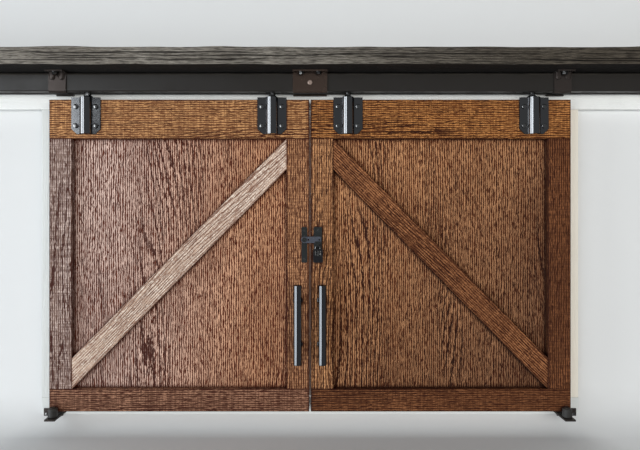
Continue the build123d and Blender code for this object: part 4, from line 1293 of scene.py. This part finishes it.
cut = add_node(tree, "GeometryNodeMeshBoolean", operation="DIFFERENCE", solver="EXACT")
tree.links.new(disc, cut.inputs["Mesh 1"])
for slot in slots:
    tree.links.new(slot, cut.inputs["Mesh 2"])
shank = round_bar(tree, given["Shank radius"], given["Shank low"], 0.0, PIN_SIDES)
screw = joined(tree, [cut.outputs[0], shank])
feed(tree, copies_on_points(tree, given, screw, math.pi), result[0])
print("nodes in the tree of the cross screws:", len(tree.nodes))

# %% [markdown]
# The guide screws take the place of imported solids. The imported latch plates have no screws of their
# own, so four are added, one near each end of a plate. Each head stands out of its plate by about a
# quarter of a millimetre, which the flip bar clears.

# %% Set the guide screws and the plate screws
GUIDE_HEAD = 0.0025
PLATE_THICKNESS = 0.003
PLATE_SCREW_EDGE = 0.010
flush_sizes = {
    "head_radius": 0.0042,
    "height": 0.00028,
    "rim": 0.6,
    "slot_depth": 0.00022,
    "shank_radius": 0.002,
    "shank_low": -0.002,
}

boxes = solid_boxes("guide_screws")
guide_heads = grow(
    cross_screws,
    "guide_screw_heads",
    [middle_at(box, y=box[0].y + GUIDE_HEAD) for box in boxes],
    head_radius=0.005,
    height=GUIDE_HEAD,
    shank_low=GUIDE_HEAD - (boxes[0][1].y - boxes[0][0].y),
    seed=21,
    material=screw_coat,
)
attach(guide_heads, "frame")
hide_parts("guide_screws")

plate_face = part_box("left_inner_stile")[0].y - PLATE_THICKNESS
for node_name, body in (("latch_plate", "left_leaf"), ("keeper_plate", "right_leaf")):
    low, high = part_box(node_name)
    middle = (low.x + high.x) / 2
    heights = (low.z + PLATE_SCREW_EDGE, high.z - PLATE_SCREW_EDGE)
    places = [(middle, plate_face, height) for height in heights]
    name = node_name + "_screws"
    plate_screws = grow(cross_screws, name, places, seed=31, material=latch_coat, **flush_sizes)
    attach(plate_screws, body)
print("guide screws:", len(boxes))

# %% [markdown]
# # Dials of the padlock
# A combination padlock is read by the figures on its three dials, and turned by the small ridges
# between them. The figures start as flat text. Each becomes a mesh, is cut into bands so that it
# can bend, and is wrapped round its dial, a tenth of a turn from the next. Their pale paint is
# greyed by a fine grime, as fingers leave it.

# %% Paint of the figures
CLEAN_FIGURE = (0.72, 0.72, 0.70, 1.0)
GRIMY_FIGURE = (0.40, 0.39, 0.37, 1.0)

figure_paint, tree, shader, place = start_material("figure_paint")
grime = remap(tree, cloud(tree, place, 900.0, 3.0, 0.6), 0.45, 0.75)
feed(tree, blend_colours(tree, grime, CLEAN_FIGURE, GRIMY_FIGURE), shader.inputs["Base Color"])
shader.inputs["Roughness"].default_value = 0.55

# %% Figures wrapped round the dials
DIAL_RADIUS = 0.0068
FIGURE_COUNT = 10
FIGURE_SIZE = 0.0036
FIGURE_DEPTH = 0.00012
FIGURE_BANDS = 6
FIGURE_WELD = 0.0000001
SHOWN_FIGURES = {1: 1, 2: 1, 3: 8}


def flat_figure(figure):
    """The figure as a flat bmesh, cut into bands across its height."""
    text = bpy.data.curves.new("figure", "FONT")
    text.body = str(figure)
    text.size = FIGURE_SIZE
    text.align_x = "CENTER"
    text.align_y = "CENTER"
    text.extrude = FIGURE_DEPTH
    flat_mesh = settled_mesh(new_object("figure", text), "figure")
    mesh = bmesh.new()
    mesh.from_mesh(flat_mesh)
    bpy.data.meshes.remove(flat_mesh)
    bmesh.ops.remove_doubles(mesh, verts=mesh.verts, dist=FIGURE_WELD)
    for band in range(1, FIGURE_BANDS):
        cut_height = FIGURE_SIZE * (band / FIGURE_BANDS - 0.5)
        everything = mesh.verts[:] + mesh.edges[:] + mesh.faces[:]
        bmesh.ops.bisect_plane(mesh, geom=everything, plane_co=(0, cut_height, 0), plane_no=(0, 1, 0))
    return mesh


def dial_figures(number, shown):
    """All ten figures of one dial as one mesh, with the shown one facing forward."""
    low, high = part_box(f"padlock_dial_{number}")
    centre = (low + high) / 2
    points = []
    faces = []
    for figure in range(FIGURE_COUNT):
        mesh = flat_figure(figure)
        turned = (shown - figure) * 2 * math.pi / FIGURE_COUNT
        start = len(points)
        mesh.verts.index_update()
        for vertex in mesh.verts:
            angle = turned + vertex.co.y / DIAL_RADIUS
            reach = DIAL_RADIUS + vertex.co.z
            y = centre.y - reach * math.cos(angle)
            points.append((centre.x + vertex.co.x, y, centre.z + reach * math.sin(angle)))
        for face in mesh.faces:
            faces.append([start + vertex.index for vertex in face.verts])
        mesh.free()
    name = f"dial_{number}_figures"
    figures = bpy.data.meshes.new(name)
    figures.from_pydata(points, [], faces)
    figures.materials.append(figure_paint)
    return plain_piece(name, figures)


for number, shown in SHOWN_FIGURES.items():
    figures = dial_figures(number, shown)
    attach(figures, f"padlock_dial_{number}")
print("figures on each dial:", FIGURE_COUNT)

# %% [markdown]
# The ridges repeat round the dial, so a tree sets bars in a ring, each turned to look outwards, and
# one copy of the ring stands on the middle of each dial.

# %% Geometry Nodes: grip ridges
BOX_FACES = 6

grip_ridges, given, result = new_tree(
    "grip_ridges",
    [
        ("Radius", "NodeSocketFloat", DIAL_RADIUS),
        ("Count", "NodeSocketInt", FIGURE_COUNT),
        ("Ridge size", "NodeSocketVector", (0.0005, 0.0005, 0.0042)),
    ],
)
tree = grip_ridges
ring = node_with(tree, "GeometryNodeMeshCircle", {"Vertices": given["Count"], "Radius": given["Radius"]})
outward = add_node(tree, "GeometryNodeInputPosition").outputs[0]
pivot = {"axis": "X", "pivot_axis": "Z"}
facing = node_with(tree, "FunctionNodeAlignRotationToVector", {"Vector": outward}, **pivot)
bar = node_with(tree, "GeometryNodeMeshCube", {"Size": given["Ridge size"]})
values = {"Points": ring, "Instance": bar, "Rotation": facing}
ridges = node_with(tree, "GeometryNodeInstanceOnPoints", values)
ridges = node_with(tree, "GeometryNodeRealizeInstances", {"Geometry": ridges})
feed(tree, copies_on_points(tree, given, ridges, 0.0), result[0])

for number in SHOWN_FIGURES:
    centre = middle_at(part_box(f"padlock_dial_{number}"))
    name = f"dial_{number}_ridges"
    ridges = grow(grip_ridges, name, [centre], axis=(1.0, 0.0, 0.0), material=lock_enamel)
    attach(ridges, f"padlock_dial_{number}")
    print("ridges on dial", number, len(ridges.data.polygons) // BOX_FACES)

# %% [markdown]
# # Studio
# The doors stand on a pale floor that sweeps up into a pale backdrop. The backdrop comes close
# behind the doors, so that they throw the same narrow shadows on it as in the photograph. It shows
# only from the front: seen from behind it lets the view through, so that the backs of the doors can
# be looked at. It casts no shadow itself and leaves no reflection, so light also comes from under
# the floor's level, as it does from bright ground outdoors.

# %% Shape of the floor and backdrop
FLOOR_GAP = 0.0005
BACKDROP_GAP = 0.012
FLOOR_HEIGHT = model_low.z - FLOOR_GAP
SWEEP_BACK = model_high.y + BACKDROP_GAP
SWEEP_FRONT = -6.0
SWEEP_SIDE = 6.0
SWEEP_TOP = 4.0
SWEEP_BEND = 0.12
BEND_STEPS = 16

profile = [(SWEEP_FRONT, FLOOR_HEIGHT)]
for step in range(BEND_STEPS + 1):
    angle = math.pi / 2 * step / BEND_STEPS
    back = SWEEP_BACK - SWEEP_BEND + SWEEP_BEND * math.sin(angle)
    height = FLOOR_HEIGHT + SWEEP_BEND - SWEEP_BEND * math.cos(angle)
    profile.append((back, height))
profile.append((SWEEP_BACK, SWEEP_TOP))
sweep_points = [(side, y, z) for y, z in profile for side in (-SWEEP_SIDE, SWEEP_SIDE)]
sweep_faces = []
for row in range(0, 2 * len(profile) - 2, 2):
    sweep_faces.append((row, row + 1, row + 3, row + 2))
sweep_mesh = bpy.data.meshes.new("studio_sweep")
sweep_mesh.from_pydata(sweep_points, [], sweep_faces)
sweep_mesh.shade_smooth()
sweep = new_object("studio_sweep", sweep_mesh)
sweep.visible_shadow = False
sweep.visible_glossy = False
print("faces of the floor and backdrop:", len(sweep_faces))

# %% Paper of the floor and backdrop
PAPER = (0.75, 0.76, 0.765, 1.0)

sweep_material = bpy.data.materials.new("studio_paper")
sweep_material.use_nodes = True
tree = sweep_material.node_tree
paper = tree.nodes["Principled BSDF"]
paper.inputs["Base Color"].default_value = PAPER
paper.inputs["Roughness"].default_value = 0.9
clear = add_node(tree, "ShaderNodeBsdfTransparent")
two_sided = add_node(tree, "ShaderNodeMixShader")
feed(tree, add_node(tree, "ShaderNodeNewGeometry").outputs["Backfacing"], two_sided.inputs[0])
feed(tree, paper.outputs[0], two_sided.inputs[1])
feed(tree, clear.outputs[0], two_sided.inputs[2])
feed(tree, two_sided.outputs[0], tree.nodes["Material Output"].inputs["Surface"])
sweep_mesh.materials.append(sweep_material)

# %% [markdown]
# # Light
# The photograph was taken in open shade, with the bright outdoors to the left. Two tall panels of
# light stand on that side with a dark gap between them. They give every tube and bolt its bright
# double streak, and their light thins out towards the right. A large light in front fills the
# shadows. It leaves no reflection, so that the black steel stays black. A weak one behind lets the
# backs be seen, and a dim pale world fills what is left.

# %% Lights and world
PANEL_SIDE = -3.4
PANEL_HEIGHT = 4.0
PANEL_MIDDLE = 0.5
PANEL_RADIANCE = 3.5
LIGHT_PANELS = {"far_panel": (-6.3, -3.1), "near_panel": (-2.1, -0.55)}
DAYLIGHT = (0.89, 0.95, 1.0)
WARM_LIGHT = (1.0, 0.98, 0.94)
OPEN_SHADE = (0.86, 0.90, 0.94, 1.0)
SHADE_STRENGTH = 0.13


def soft_light(name, place, target, width, height, power, colour=(1.0, 1.0, 1.0)):
    data = bpy.data.lights.new(name, "AREA")
    data.shape = "RECTANGLE"
    data.size = width
    data.size_y = height
    data.energy = power
    data.color = colour
    light = new_object(name, data)
    light.location = place
    direction = Vector(target) - Vector(place)
    light.rotation_euler = direction.to_track_quat("-Z", "Y").to_euler()
    return light


for name, (front, back) in LIGHT_PANELS.items():
    middle = (front + back) / 2
    width = back - front
    power = PANEL_RADIANCE * math.pi * width * PANEL_HEIGHT
    place = (PANEL_SIDE, middle, PANEL_MIDDLE)
    beside = (0.0, middle, PANEL_MIDDLE)
    soft_light(name, place, beside, width, PANEL_HEIGHT, power, DAYLIGHT)

front_place = (1.4, -4.2, 0.9)
front_target = (0.4, 0.0, 0.8)
front_fill = soft_light("front_fill", front_place, front_target, 5.6, 1.1, power=116.0, colour=WARM_LIGHT)
front_fill.visible_glossy = False
soft_light("back_fill", (0.6, 2.6, 1.6), (0.0, 0.0, 0.5), 2.0, 1.6, power=30.0)
print("lights:", len(bpy.data.lights))

world = bpy.data.worlds.new("open_shade")
world.use_nodes = True
sky = world.node_tree.nodes["Background"]
sky.inputs["Color"].default_value = OPEN_SHADE
sky.inputs["Strength"].default_value = SHADE_STRENGTH
bpy.context.scene.world = world
bpy.context.scene.view_settings.view_transform = "Standard"
